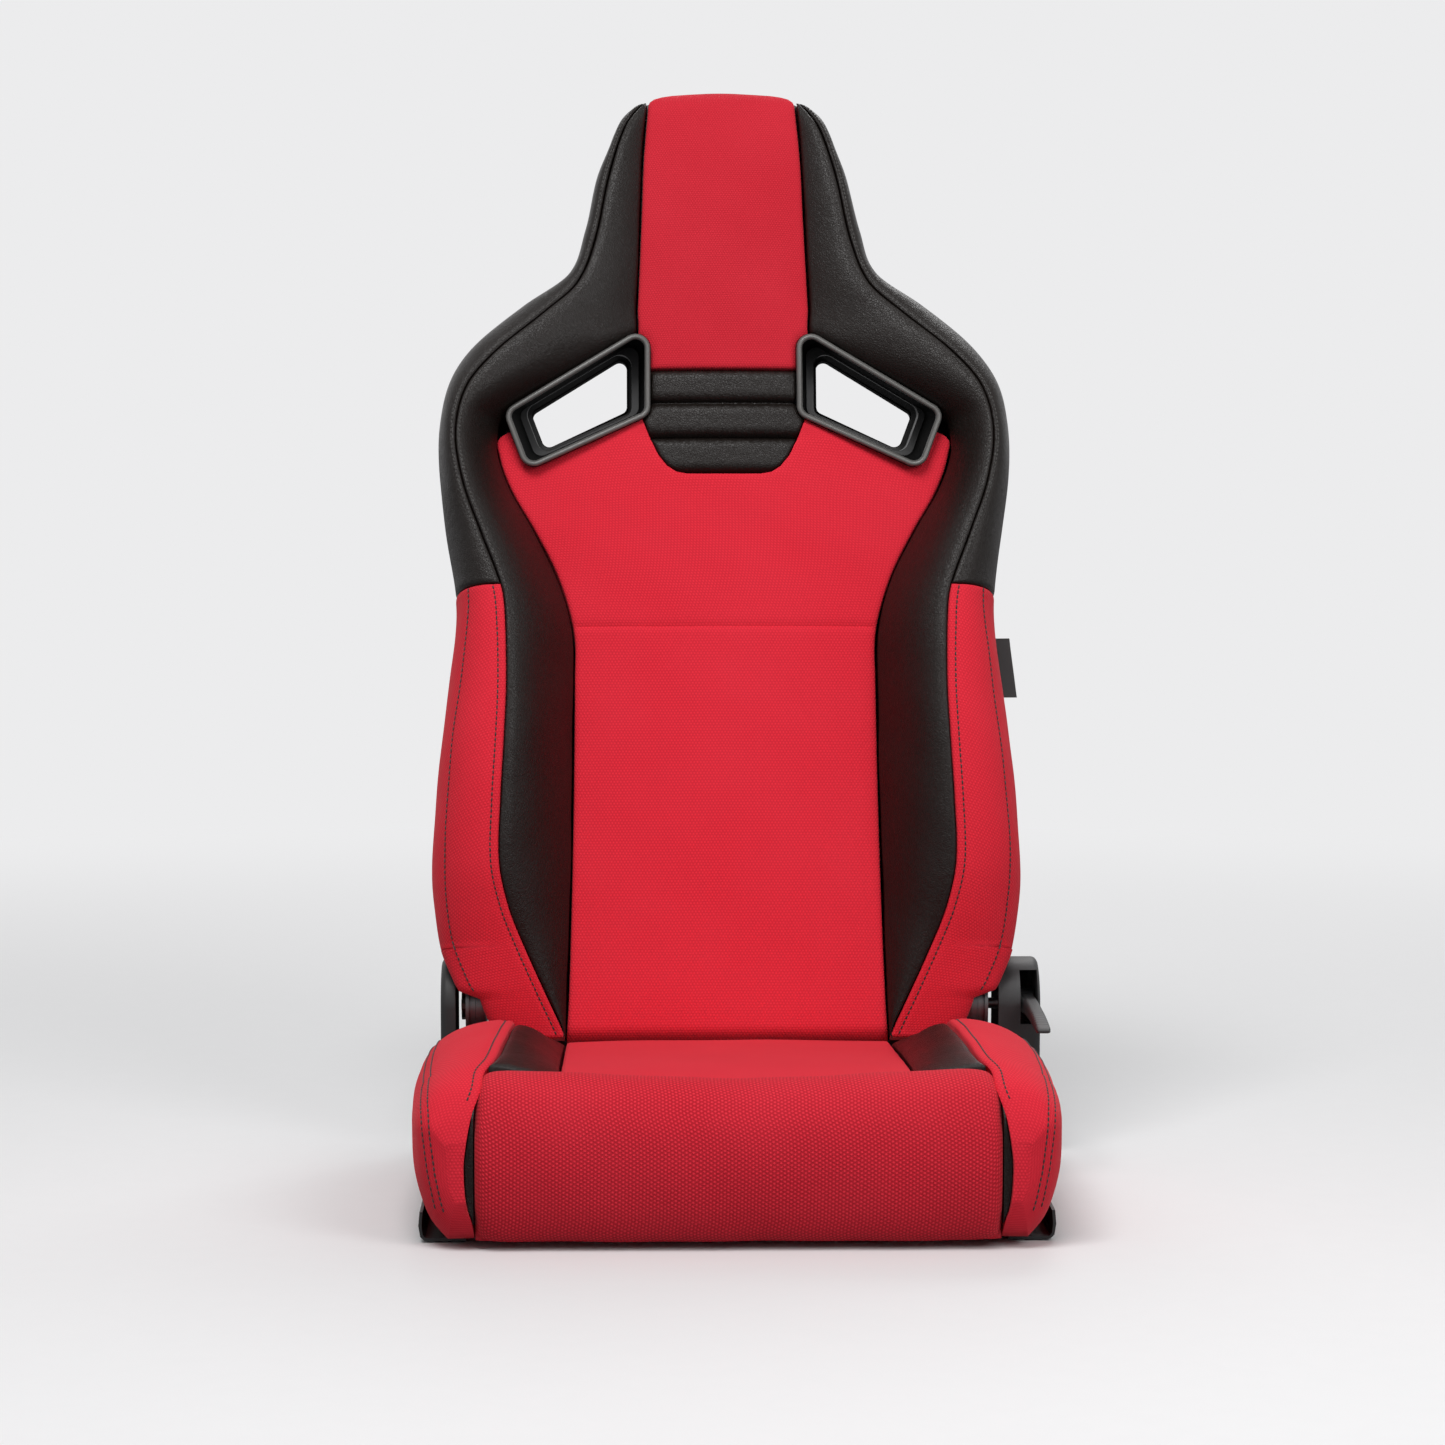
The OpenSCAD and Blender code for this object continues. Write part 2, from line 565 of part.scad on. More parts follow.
module cover_outline(grow) {
  offset(delta = grow) union() {
    translate([pivot_y, pivot_z]) circle(r = 43);
    polygon([[pivot_y - 37, 26], [pivot_y + 45, 26], [pivot_y + 42, pivot_z], [pivot_y - 42, pivot_z]]);
  }
}
module recliner_cover(depth, slot) {
  difference() {
    translate([cover_x, 0, 0]) rotate([90, 0, 90]) linear_extrude(height = depth) cover_outline(0);
    translate([cover_x - 1, 0, 0]) rotate([90, 0, 90]) linear_extrude(height = depth - cover_t + 1)
      cover_outline(-cover_t);
    if (slot) translate([lever_x - 2, pivot_y - 60, pivot_z - 14]) cube([lever_w + 3, 55, 48]);
  }
  for (y = [pivot_y - 18, pivot_y + 18])
    translate([bracket_x + bracket_t, y, pivot_z - 47]) rotate([0, 90, 0])
      cylinder(r = 5, h = cover_x + depth - cover_t / 2 - bracket_x - bracket_t);
}
module recliner_cover_left() { color(black) on_side(true) recliner_cover(cover_depth, true); }
module recliner_cover_right() { color(black) on_side(false) recliner_cover(far_cover_depth, false); }

// ---- Cushion, drawn along the seat from front to rear ----

spring_z = cross_tube_z + cross_tube_d / 2 + spring_wire / 2 + 0.05;
pad_z = spring_z + spring_wire / 2 + 0.3;
side_pad_z = frame_h + 0.4;
roll_rear_y = -205;
cushion_rear_y = pivot_y - 63;
bolster_rear_y = pivot_y - 75;

function sit(y) = sit_z - sit_fall * (y - roll_rear_y) / (cushion_rear_y - roll_rear_y);
// Half width of the crest seam, fall of the crest, share of the side foam that is missing, lower edge
cushion_crest = [[-262, 222.6], [-254, 218.5], [-240, 211.5], [-215, 209], [-190, 202], [-150, 198],
  [-100, 195], [0, 191], [90, 187], [165, 183]];
crest_fall = [[-262, 62], [-254, 42], [-240, 23], [-215, 12], [-190, 6], [-150, 2], [-100, 0], [40, 3],
  [80, 13], [120, 31], [165, 54]];
side_fall = [[-262, 0.63], [-254, 0.34], [-240, 0.17], [-205, 0.06], [-130, 0], [50, 0.02], [120, 0.17],
  [165, 0.42]];
// Between the side frames' outer faces and the foam of the bolsters
rail_gap = 4;
lower_rise = [[-262, 34], [-254, 15], [-244, 5], [-230, 0], [165, 0]];

// In front of the rails the bolster's inner wall bows out from the roll, by share of its height
bow_at = 0.4;
bow_top = 0.84;
bow = 8.5;
function bow_out(f) = roll_half + (f < bow_at ? mix(1.5, bow, f / bow_at)
  : mix(bow, 1, (f - bow_at) / (bow_top - bow_at)));
function bolster_low(y) = foam_z + curve(lower_rise, y);
function bolster_top(y) = bolster_z - curve(crest_fall, y);
function bolster_inside(y) =
  let(a = curve(cushion_crest, y) + seam_gap / 2, top = bolster_top(y), low = bolster_low(y),
    pocket = max(side_pad_z, low + 8), wall = frame_w / 2 + rail_gap)
  y < roll_rear_y + 0.4
    ? [[bow_out(0), y, low], [bow_out(bow_at), y, mix(low, top, bow_at)],
      [max(a, bow_out(bow_top)), y, mix(low, top, bow_top)], [a, y, top - 3]]
    : [[wall, y, low], [wall, y, pocket], [a, y, pocket], [a, y, top - 3]];
function bolster_ring(y) =
  let(a = curve(cushion_crest, y) + seam_gap / 2, top = bolster_top(y), low = bolster_low(y),
    b = frame_w / 2 + side_foam * (1 - curve(side_fall, y)), wall = frame_w / 2 + rail_gap,
    wide = foam_z + 88 + curve(lower_rise, y) * 0.3)
  concat(bolster_inside(y),
    [for (t = [8, 28, 48, 68, 88])
      [mix(a, b, pow(sin(t), 0.9)), y, mix(min(wide, top - 6), top, pow(cos(t), 0.8))]],
    [[b - 2, y, mix(low, wide, 0.6)], [mix(wall, b, 0.68), y, mix(low, wide, 0.22)],
      [mix(wall, b, 0.27), y, low]]);
function inner_ring(y) =
  let(a = centre_half + seam_gap / 2, b = curve(cushion_crest, y) - seam_gap / 2, low = sit(y),
    high = bolster_top(y))
  concat([[b, y, side_pad_z], [a, y, side_pad_z], [a, y, low - 3]],
    [for (t = [0.05, 0.25, 0.45, 0.65, 0.85, 0.97])
      [mix(a, b, t), y, low + (high - low) * (1 - pow(1 - t, 1.7)) + 2 * crown(t)]],
    [[b, y, high - 3]]);
// The strip between the roll's end and the bolster, as tall as the gap is open
function gusset_ring(y) =
  let(low = bolster_low(y), top = bolster_top(y), a = roll_half + 0.4)
  concat([[a, y, mix(low, top, 0.06)], [a, y, mix(low, top, 0.76)]],
    [for (f = [0.76, 0.6, 0.4, 0.2, 0.06]) [bow_out(f) - 0.3, y, mix(low, top, f)]]);

side_rows = [-262, -258, -254, -246, -236, -222, -210, roll_rear_y + 0.3, roll_rear_y + 0.6, -190, -170,
  -150, -120,
  -60, 0, 45, 80, 110, 140, bolster_rear_y];
module cushion_bolster() {
  loft([for (y = side_rows) bolster_ring(y)]);
}
module cushion_bolster_left() { color(red) on_side(true) cushion_bolster(); }
module cushion_bolster_right() { color(red) on_side(false) cushion_bolster(); }

module cushion_inner_panel() {
  loft([for (y = concat(roll_rear_y + 1.2, [for (y = side_rows) if (y > roll_rear_y + 2) y])) inner_ring(y)]);
  loft([for (y = [-255, -246, -236, -222, roll_rear_y - 1]) gusset_ring(y)]);
}
module cushion_inner_panel_left() { color(black) on_side(true) cushion_inner_panel(); }
module cushion_inner_panel_right() { color(black) on_side(false) cushion_inner_panel(); }

module cushion_centre() {
  a = centre_half - seam_gap / 2;
  color(red) loft([for (y = [roll_rear_y + 0.6, -180, -130, -70, -10, 50, 100, 140, cushion_rear_y])
    concat([[a, y, pad_z], [a, y, sit(y) - 3]],
      [for (t = [0.97, 0.8, 0.4, 0, -0.4, -0.8, -0.97]) [t * a, y, sit(y) + 4 * crown((t + 1) / 2)]],
      [[-a, y, sit(y) - 3], [-a, y, pad_z]])]);
}

module front_roll() {
  // Outline of the roll from its rear foot over the top to its front foot
  rear = roll_rear_y;
  front = roll_front_y;
  color(red) loft([for (q = [[-1, 22], [-0.985, 12], [-0.94, 4], [-0.8, 1], [0, 0], [0.8, 1], [0.94, 4],
      [0.985, 12], [1, 22]])
    let(x = q[0] * roll_half, in = q[1], low = foam_z + in * 0.5)
    [[x, rear, low], [x, rear, sit_z - 3 - in], [x, rear - 5, sit_z + 1 - in], [x, rear - 20, sit_z + 2 - in],
      [x, rear - 36, sit_z - 4 - in], [x, front + 14 + in * 0.3, sit_z - 15 - in],
      [x, front + 4 + in * 0.4, sit_z - 36 - in * 0.5], [x, front + in * 0.5, foam_z + 64],
      [x, front + 3 + in * 0.5, foam_z + 32], [x, front + 10 + in * 0.4, foam_z + 10 + in * 0.5],
      [x, front + 19 + in * 0.2, low]]]);
}

// ---- Base structure ----

module side_frame() {
  out = frame_w / 2;
  holes = [for (y = [-bolt_y / 2, bolt_y / 2]) [bolt_x / 2, y]];
  difference() {
    union() {
      translate([out - frame_t, 0, 0]) rotate([90, 0, 90]) linear_extrude(height = frame_t)
        side_frame_outline();
      translate([out - flange_w, -192, 0]) cube([flange_w, 192 + leg_y[1], flange_t]);
      translate([out - frame_t - 10, -192, frame_h - frame_t]) cube([12, 250, frame_t]);
    }
    for (h = holes) translate([h[0], h[1], -1]) cylinder(d = bolt_hole_d, h = flange_t + 2);
    for (b = leg_bolts) translate([out - 10, b[0], b[1]]) rotate([0, 90, 0]) cylinder(d = 10.4, h = 20);
  }
}
module side_frame_outline() {
  difference() {
    offset(r = 8) offset(delta = -8) polygon([[-192, 0], [-192, frame_h], [60, frame_h], [150, 46],
      [leg_y[0], 64], [leg_y[1], 64], [leg_y[1], 0]]);
    // Lightening holes between the cross tubes
    for (y = [-120:48:72]) translate([y, 28]) circle(d = 24);
  }
  translate([-192, 0]) square([192 + leg_y[1], 10]);
}
module side_frame_left() { color(steel) on_side(true) side_frame(); }
module side_frame_right() { color(steel) on_side(false) side_frame(); }

module cross_tube(y) {
  half = frame_w / 2 - frame_t;
  color(steel) translate([-half, y, cross_tube_z]) rotate([0, 90, 0]) difference() {
    cylinder(d = cross_tube_d, h = 2 * half);
    translate([0, 0, -1]) cylinder(d = cross_tube_d - 4, h = 2 * half + 2);
  }
}
module front_cross_tube() { cross_tube(front_tube_y); }
module rear_cross_tube() { cross_tube(rear_tube_y); }

module base_weld_nuts() {
  color(steel) for (x = [-1, 1], y = [-1, 1])
    translate([x * bolt_x / 2, y * bolt_y / 2, flange_t]) difference() {
      cylinder(d = 13 / cos(30), h = 7, $fn = 6);
      translate([0, 0, -1]) cylinder(d = bolt_hole_d, h = 9);
    }
}

module seat_springs_zigzag() {
  bends = 12;
  run = rear_tube_y - front_tube_y;
  pitch = 240 / (seat_springs - 1);
  color(steel) for (k = [0:seat_springs - 1])
    translate([-120 + k * pitch, front_tube_y, spring_z])
      tube_run([for (i = [0:bends]) [(i == 0 || i == bends) ? 0 : (i % 2 == 0 ? 20 : -20),
        run * i / bends, 0]], spring_wire, [0, 0, 1], 8);
}

module side_skirt() {
  inner = frame_w / 2 + 0.3;
  edge = frame_w / 2 + side_foam - 8;
  translate([0, 285, 0]) rotate([90, 0, 0]) linear_extrude(height = 500)
    polygon([[inner, 1.5], [edge - 5, 1.5], [edge - 1.5, 5], [edge, 14], [edge - 1, 25.6],
      [edge - 3.5, 25.6], [edge - 2.6, 14], [edge - 3.6, 6.5], [edge - 5.6, 4], [inner, 4]]);
}
module side_skirt_left() { color(black) on_side(true) side_skirt(); }
module side_skirt_right() { color(black) on_side(false) side_skirt(); }

side_frame_left();
side_frame_right();
front_cross_tube();
rear_cross_tube();
base_weld_nuts();
seat_springs_zigzag();
recliner_bracket_left();
recliner_bracket_right();
recliner_fixed_discs();
recliner_bolts();
cushion_centre();
front_roll();
cushion_bolster_left();
cushion_bolster_right();
cushion_inner_panel_left();
cushion_inner_panel_right();
side_skirt_left();
side_skirt_right();
recliner_cover_left();
recliner_cover_right();
recliner_arm_left();
recliner_arm_right();
recliner_moving_discs();
back_frame_tube();
back_cross_tube();
back_wires();
rear_cover();
back_insert();
wing_pad_left();
wing_pad_right();
side_bolster_left();
side_bolster_right();
shoulder_side_left();
shoulder_side_right();
head_insert();
head_band();
neck_pad();
harness_duct_left();
harness_duct_right();
duct_rear_ring_left();
duct_rear_ring_right();
side_tag();
release_shaft();
release_lever();
lever_return_spring();
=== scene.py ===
# %% [markdown]
# # A reclining sports seat, dressed for the studio
# The frame comes from the CAD model: every rail, tube and recliner is already in place, and so is
# every block of foam. This lesson puts the upholstery on it. Each cover is a fine mesh that follows
# the same seams as the foam below, with its rolled edges, grooves, stitches and woven or grained skin.

# %% Load the frame
import math

import bmesh
import bpy
import numpy as np
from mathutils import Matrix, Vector
from mathutils.bvhtree import BVHTree


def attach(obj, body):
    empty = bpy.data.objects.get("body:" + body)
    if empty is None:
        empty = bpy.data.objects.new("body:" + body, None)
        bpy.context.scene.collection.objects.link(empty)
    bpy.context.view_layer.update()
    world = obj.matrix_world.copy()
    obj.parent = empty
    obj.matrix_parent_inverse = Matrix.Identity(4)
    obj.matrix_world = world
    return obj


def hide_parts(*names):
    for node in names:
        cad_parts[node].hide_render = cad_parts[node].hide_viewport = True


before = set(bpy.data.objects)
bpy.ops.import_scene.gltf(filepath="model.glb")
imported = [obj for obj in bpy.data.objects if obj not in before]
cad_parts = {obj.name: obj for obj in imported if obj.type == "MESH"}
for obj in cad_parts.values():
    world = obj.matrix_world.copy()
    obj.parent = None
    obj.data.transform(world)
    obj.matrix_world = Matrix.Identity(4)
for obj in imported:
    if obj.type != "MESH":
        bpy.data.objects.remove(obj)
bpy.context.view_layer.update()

BASE, BACK, RELEASE = "base", "backrest", "release"
SIDES = ((1, "left"), (-1, "right"))

# %% [markdown]
# ## The camera and the room
# A long lens from four metres keeps the seat's sides nearly parallel, as a catalogue picture does.
# The camera stands a little below the headrest and looks slightly down.

# %% Camera
FOCAL_PIXELS = 4630.0
FRAME_PIXELS = 1445.0
SENSOR = 36.0
CAMERA_PLACE = (-0.088, -4.0, 0.729)
CAMERA_TILT, CAMERA_TURN = 85.5, -1.141
camera_data = bpy.data.cameras.new("studio_camera")
camera_data.sensor_width = SENSOR
camera_data.lens = FOCAL_PIXELS / FRAME_PIXELS * SENSOR
camera = bpy.data.objects.new("studio_camera", camera_data)
camera.location = CAMERA_PLACE
camera.rotation_euler = (math.radians(CAMERA_TILT), 0.0, math.radians(CAMERA_TURN))
bpy.context.scene.collection.objects.link(camera)
bpy.context.scene.camera = camera
bpy.context.scene.view_settings.view_transform = "Standard"
print("lens:", round(camera_data.lens, 1), "mm")

# %% [markdown]
# ## Shader arithmetic as plain expressions
# Nodes can be written like sums: a `Wire` holds one socket, and each operator adds the Math node
# for it. Any other node comes from `Finish.add`, with its settings first and its inputs after them.

# %% The Wire and Finish classes


class Wire:
    """One socket of a material, which takes part in sums."""

    def __init__(self, finish, socket):
        self.finish = finish
        self.socket = socket

    def math(self, operation, *others):
        node = self.finish.tree.nodes.new("ShaderNodeMath")
        node.operation = operation
        for slot_number, value in enumerate((self, *others)):
            self.finish.feed(node.inputs[slot_number], value)
        return Wire(self.finish, node.outputs[0])

    def __add__(self, other):
        return self.math("ADD", other)

    def __radd__(self, other):
        return self.math("ADD", other)

    def __sub__(self, other):
        return self.math("SUBTRACT", other)

    def __rsub__(self, other):
        return (self * -1.0).math("ADD", other)

    def __mul__(self, other):
        return self.math("MULTIPLY", other)

    def __truediv__(self, other):
        return self.math("DIVIDE", other)

    def __pow__(self, other):
        return self.math("POWER", other)

    def sin(self):
        return self.math("SINE")

    def floor(self):
        return self.math("FLOOR")

    def modulo(self, other):
        return self.math("FLOORED_MODULO", other)

    def limited(self):
        """Kept between 0 and 1."""
        return self.math("MINIMUM", 1.0).math("MAXIMUM", 0.0)


class Finish:
    """A material under construction."""

    def __init__(self, name, **shader):
        self.material = bpy.data.materials.new(name)
        self.material.use_nodes = True
        self.tree = self.material.node_tree
        self.shader = self.tree.nodes["Principled BSDF"]
        for socket_name, value in shader.items():
            self.shader.inputs[socket_name.replace("_", " ").title()].default_value = value

    def feed(self, socket, value):
        if isinstance(value, Wire):
            self.tree.links.new(value.socket, socket)
        else:
            socket.default_value = value

    def add(self, kind, settings=None, inputs=None, out=0):
        node = self.tree.nodes.new("ShaderNode" + kind)
        for setting, value in (settings or {}).items():
            setattr(node, setting, value)
        for socket_name, value in (inputs or {}).items():
            self.feed(node.inputs[socket_name], value)
        return Wire(self, node.outputs[out])

    def place(self, uv=False):
        """Object coordinates, or the piece's own unrolled coordinates, both in metres."""
        if uv:
            return self.add("UVMap", {"uv_map": "unrolled"})
        return self.add("TexCoord", out="Object")

    def parts(self, vector):
        node = self.tree.nodes.new("ShaderNodeSeparateXYZ")
        self.feed(node.inputs[0], vector)
        return [Wire(self, socket) for socket in node.outputs]

    def noise(self, vector, scale, detail=3.0, roughness=0.5):
        return self.add("TexNoise", {}, {"Vector": vector, "Scale": scale, "Detail": detail,
                                         "Roughness": roughness})

    def mix(self, share, first, second):
        return self.add("Mix", {"data_type": "RGBA"}, {0: share, 6: first, 7: second}, out=2)

    def bump(self, height, depth, strength):
        return self.add("Bump", {}, {"Height": height, "Distance": depth, "Strength": strength})

    def wear(self, **inputs):
        """Joins what varies over the surface to the shader."""
        for socket_name, value in inputs.items():
            self.feed(self.shader.inputs[socket_name.replace("_", " ")], value)
        return self.material


def srgb(red, green, blue):
    """A colour given 0 to 255, as the linear colour that shaders use."""
    linear = [c / 255 / 12.92 if c <= 10 else ((c / 255 + 0.055) / 1.055) ** 2.4
              for c in (red, green, blue)]
    return (*linear, 1.0)


def shaded(colour, share, lift=0.0):
    """A darker or a paler shade of a colour."""
    return tuple(min(1.0, c * share + lift) for c in colour[:3]) + (1.0,)


print("white is", srgb(255, 255, 255))

# %% [markdown]
# ## The seat's own ruler
# The backrest leans back, so its parts are laid out in its own frame: x across, n out of its front
# and s up along it from the pivot. Seams are smooth curves through a few measured pairs, the same
# pairs that shape the foam. All sizes here are in millimetres until a mesh is made.

# %% Seam curves of the backrest
PIVOT_Y, PIVOT_Z = 240.0, 135.0
RECLINE = math.radians(16)
MM = 0.001
INSERT_EDGE = [(-34, 147), (0, 145), (140, 141.5), (300, 140), (345, 141), (397, 155.5), (440, 176.5),
               (480, 199), (515, 211), (534, 209), (548, 172), (562, 120)]
WING_EDGE = [(-34, 147), (0, 145), (140, 141.5), (300, 140), (345, 141), (397, 155.5), (440, 176.5),
             (480, 199), (515, 211), (534, 211), (548, 207), (560, 190), (590, 138), (610, 104),
             (628, 83), (660, 81), (740, 77.6), (810, 75), (863, 71), (872, 70.2)]
CREST_EDGE = [(-39, 148), (-34, 149), (-3, 164), (40, 184), (74, 198), (114, 207), (170, 206),
              (225, 203), (281, 201), (348, 203), (374, 207), (426, 226), (476, 243), (526, 250),
              (571, 240), (607, 213), (647, 169), (678, 138), (723, 121), (784, 109), (820, 100),
              (843, 92), (858, 84), (866, 78), (872, 73)]
OUTER_EDGE = [(-38, 207), (-23, 217), (-8, 223.6), (-1, 226), (0.4, 227.5), (2.6, 242.5),
              (5, 245), (14, 250), (45, 262), (89, 269), (125, 270), (181, 267),
              (237, 262), (295, 255), (353, 249.5), (382, 251), (440, 260), (499, 267), (539, 266.5),
              (584, 257), (620, 234), (660, 190), (692, 147), (736, 131), (790, 119), (820, 108.5),
              (838, 102.5), (854, 95), (866, 84), (872, 77.5), (878, 68)]
FACE_N = [(-40, 37), (-28, 45), (45, 43), (140, 41), (235, 38), (340, 34), (400, 32), (480, 31),
          (530, 30), (640, 27), (740, 24), (810, 17), (858, 8), (873, 2), (880, -3), (884, -6)]
CREST_N = [(-34, 52), (-3, 64), (40, 80), (74, 94), (114, 108), (170, 117), (225, 120), (281, 117),
           (348, 110), (426, 98), (476, 91), (526, 84), (571, 76), (607, 67), (647, 56), (678, 49),
           (723, 42), (784, 35), (843, 22), (860, 12), (872, 5)]
COVER_FALL = [(-42, 30), (-20, 20), (30, 8), (150, 0), (300, 0), (450, 6), (495, 10), (560, 10.6),
              (630, 10.6), (750, 20), (850, 28), (880, 42)]


def curve(pairs, place):
    """Smooth curve through pairs, level past its ends."""
    i = 0
    while i < len(pairs) - 2 and place >= pairs[i + 1][0]:
        i += 1

    def rise(k):
        a, b = pairs[max(k - 1, 0)], pairs[min(k + 1, len(pairs) - 1)]
        return (b[1] - a[1]) / (b[0] - a[0])

    h = pairs[i + 1][0] - pairs[i][0]
    t = min(1.0, max(0.0, (place - pairs[i][0]) / h))
    return ((2 * t ** 3 - 3 * t * t + 1) * pairs[i][1] + (t ** 3 - 2 * t * t + t) * h * rise(i)
            + (3 * t * t - 2 * t ** 3) * pairs[i + 1][1] + (t ** 3 - t * t) * h * rise(i + 1))


def smooth_line(knots, count):
    """Catmull-Rom line through knots, with the same number of points on each stretch."""
    knots = [np.array(k, float) for k in knots]
    last = len(knots) - 1
    found = [tuple(knots[0])]
    for t in np.linspace(0, last, last * count + 1)[1:]:
        i = min(last - 1, int(t))
        p0, p1, p2, p3 = knots[max(0, i - 1)], knots[i], knots[i + 1], knots[min(last, i + 2)]
        u = t - i
        found.append(tuple(0.5 * (2 * p1 + (p2 - p0) * u + (2 * p0 - 5 * p1 + 4 * p2 - p3) * u * u
                                  + (3 * p1 - p0 - 3 * p2 + p3) * u ** 3)))
    return found


def mix(a, b, t):
    return a + (b - a) * t


def crown(t):
    """The fullness of a stuffed cover: nothing at both seams, 1 halfway."""
    return 1 - abs(2 * t - 1) ** 2.4


def on_back(x, n, s):
    """A point of the backrest's frame, in metres in the shared frame."""
    y = PIVOT_Y + s * math.sin(RECLINE) - n * math.cos(RECLINE)
    z = PIVOT_Z + s * math.cos(RECLINE) + n * math.sin(RECLINE)
    return (x * MM, y * MM, z * MM)


print("top of the headrest:", on_back(0, 0, 884))

# %% [markdown]
# ## A cover as a grid
# A fitted cover is a surface drawn from one seam to another, row after row along the seat. Near each
# seam it rolls down into the joint, under a top-stitch it sinks a little, and over the foam it is
# never quite even. `Cover` builds exactly that: it takes the cross-section at any station, spreads
# columns over its real length, and closes the piece with walls and a back.

# %% The Cover class
ROLL_REACH = 5.0
ROLL_DEPTH = 2.8
GROOVE_HALF = 2.2
EDGE_STEPS = (0.0, 0.5, 1.4, 2.8, 4.6, 7.0)
# Covers narrower than this get narrower edge steps
FULL_WIDTH = 60.0
# A cover's slope is taken over this distance to each side
SLOPE_REACH = 1.5
# Step between the back's columns in the unrolled map, past the front's
BACK_STEP = 20


def roll(distance, reach=ROLL_REACH, depth=ROLL_DEPTH):
    """How far a rolled edge has dropped at this distance from its seam."""
    left = 1 - min(max(distance, 0.0), reach) / reach
    return depth * (1 - math.sqrt(max(0.0, 1 - left * left)))


def groove(distance, depth):
    """The furrow that a row of stitches pulls into the cover."""
    return depth * math.exp(-(distance / GROOVE_HALF) ** 2)


def stations(low, high, step):
    """Places from low to high, close together at both ends."""
    inner = EDGE_STEPS[-1]
    count = max(2, round((high - low - 2 * inner) / step))
    middle = [mix(low + inner, high - inner, k / count) for k in range(1, count)]
    return [low + e for e in EDGE_STEPS] + middle + [high - e for e in reversed(EDGE_STEPS)]


class Cover:
    """A panel of cover over its foam. section(station) gives the front from one seam to the other."""

    def __init__(self, section, to_world, low, high, back, side=1, rolled=(True, True),
                 grooves=(), ripple=0.35, extra=None, closing=None, seed=0):
        self.section = section
        self.to_world = to_world
        self.low, self.high = low, high
        self.back = back
        self.side = side
        self.rolled = rolled
        self.grooves = grooves
        self.ripple = ripple
        self.extra = extra
        self.closing = closing
        self.phase = np.random.default_rng(seed).uniform(0, 6.28, 6)

    def run(self, station):
        """The section's points, and how far along the section each of them lies."""
        points = np.array(self.section(station), float)
        steps = np.linalg.norm(np.diff(points, axis=0), axis=1)
        length = np.concatenate([[0], np.cumsum(steps)])
        return points, length

    def front(self, points, length, station, along, lift=0.0):
        """One point of the finished front, at a distance along the section, in section sizes."""
        x = np.interp(along, length, points[:, 0])
        n = np.interp(along, length, points[:, 1])
        ahead, behind = min(along + SLOPE_REACH, length[-1]), max(along - SLOPE_REACH, 0.0)
        dx = np.interp(ahead, length, points[:, 0]) - np.interp(behind, length, points[:, 0])
        dn = np.interp(ahead, length, points[:, 1]) - np.interp(behind, length, points[:, 1])
        size = math.hypot(dx, dn) or 1.0
        out = (-dn / size, dx / size)
        gaps = [station - self.low, self.high - station]
        if self.rolled[0]:
            gaps.append(along)
        if self.rolled[1]:
            gaps.append(length[-1] - along)
        sink = roll(min(gaps))
        for kind, place, depth in self.grooves:
            if kind == "first":
                sink += groove(along - place, depth)
            elif kind == "last":
                sink += groove(length[-1] - along - place, depth)
            else:
                sink += groove(station - place, depth)
        a, b, c, d, e, _ = self.phase
        slow = math.sin(station / 31 + a + 1.3 * math.sin(along / 47 + b)) * math.sin(along / 37 + c)
        quick = math.sin(station / 13 + d + along / 19 + e)
        sink -= self.ripple * (slow + 0.5 * quick)
        if self.extra:
            sink += self.extra(x, station)
        move = lift - sink
        return x + out[0] * move, n + out[1] * move

    def world(self, x, n, station):
        return self.to_world(x * self.side, n, station)

    def line(self, kind, place, low=None, high=None, lift=0.25, step=4.0):
        """Points of a seam or stitch line on the finished front, in metres."""
        low = self.low + 2 if low is None else low
        high = self.high - 2 if high is None else high
        count = max(2, round((high - low) / step))
        found = []
        for k in range(count + 1):
            station = mix(low, high, k / count)
            points, length = self.run(station)
            along = place if kind == "first" else length[-1] - place
            found.append(self.world(*self.front(points, length, station, along, lift), station))
        return found

    def mesh(self, name, step, columns):
        """The closed piece, with its unrolled coordinates in metres."""
        rows, unrolled = [], []
        for station in stations(self.low, self.high, step):
            points, length = self.run(station)
            total = length[-1]
            edge = [e * min(1.0, total / FULL_WIDTH) for e in EDGE_STEPS]
            inner = edge[-1]
            places = edge + [mix(inner, total - inner, k / columns) for k in range(1, columns)]
            places += [total - e for e in reversed(edge)]
            row = [self.world(*self.front(points, length, station, d), station) for d in places]
            if self.closing:
                behind = self.closing(station, points[0][0])
            else:
                behind = [(points[-1][0], self.back(station)), (points[0][0], self.back(station))]
            row += [self.world(x, n, station) for x, n in behind]
            way = [0.0] * len(row)
            if rows:
                way = [v + math.dist(p, q) for (_, v), p, q in zip(unrolled[-1], rows[-1], row)]
            rows.append(row)
            across = [d * MM for d in places]
            across += [(total + BACK_STEP + BACK_STEP * k) * MM for k in range(len(behind))]
            unrolled.append(list(zip(across, way)))
        return grid_piece(name, rows, unrolled)


# %% [markdown]
# ## From rings of points to closed pieces
# Every panel and moulding here is a run of rings with the same number of points. One helper joins
# neighbouring rings with quads, and the others close the ends, keep a map of the surface, or turn
# the run into a block that cuts. Working from rings keeps each shape's own numbers in plain sight.

# %% Closed meshes
# Corners sharper than this many degrees stay hard
SHARP_ANGLE = 42


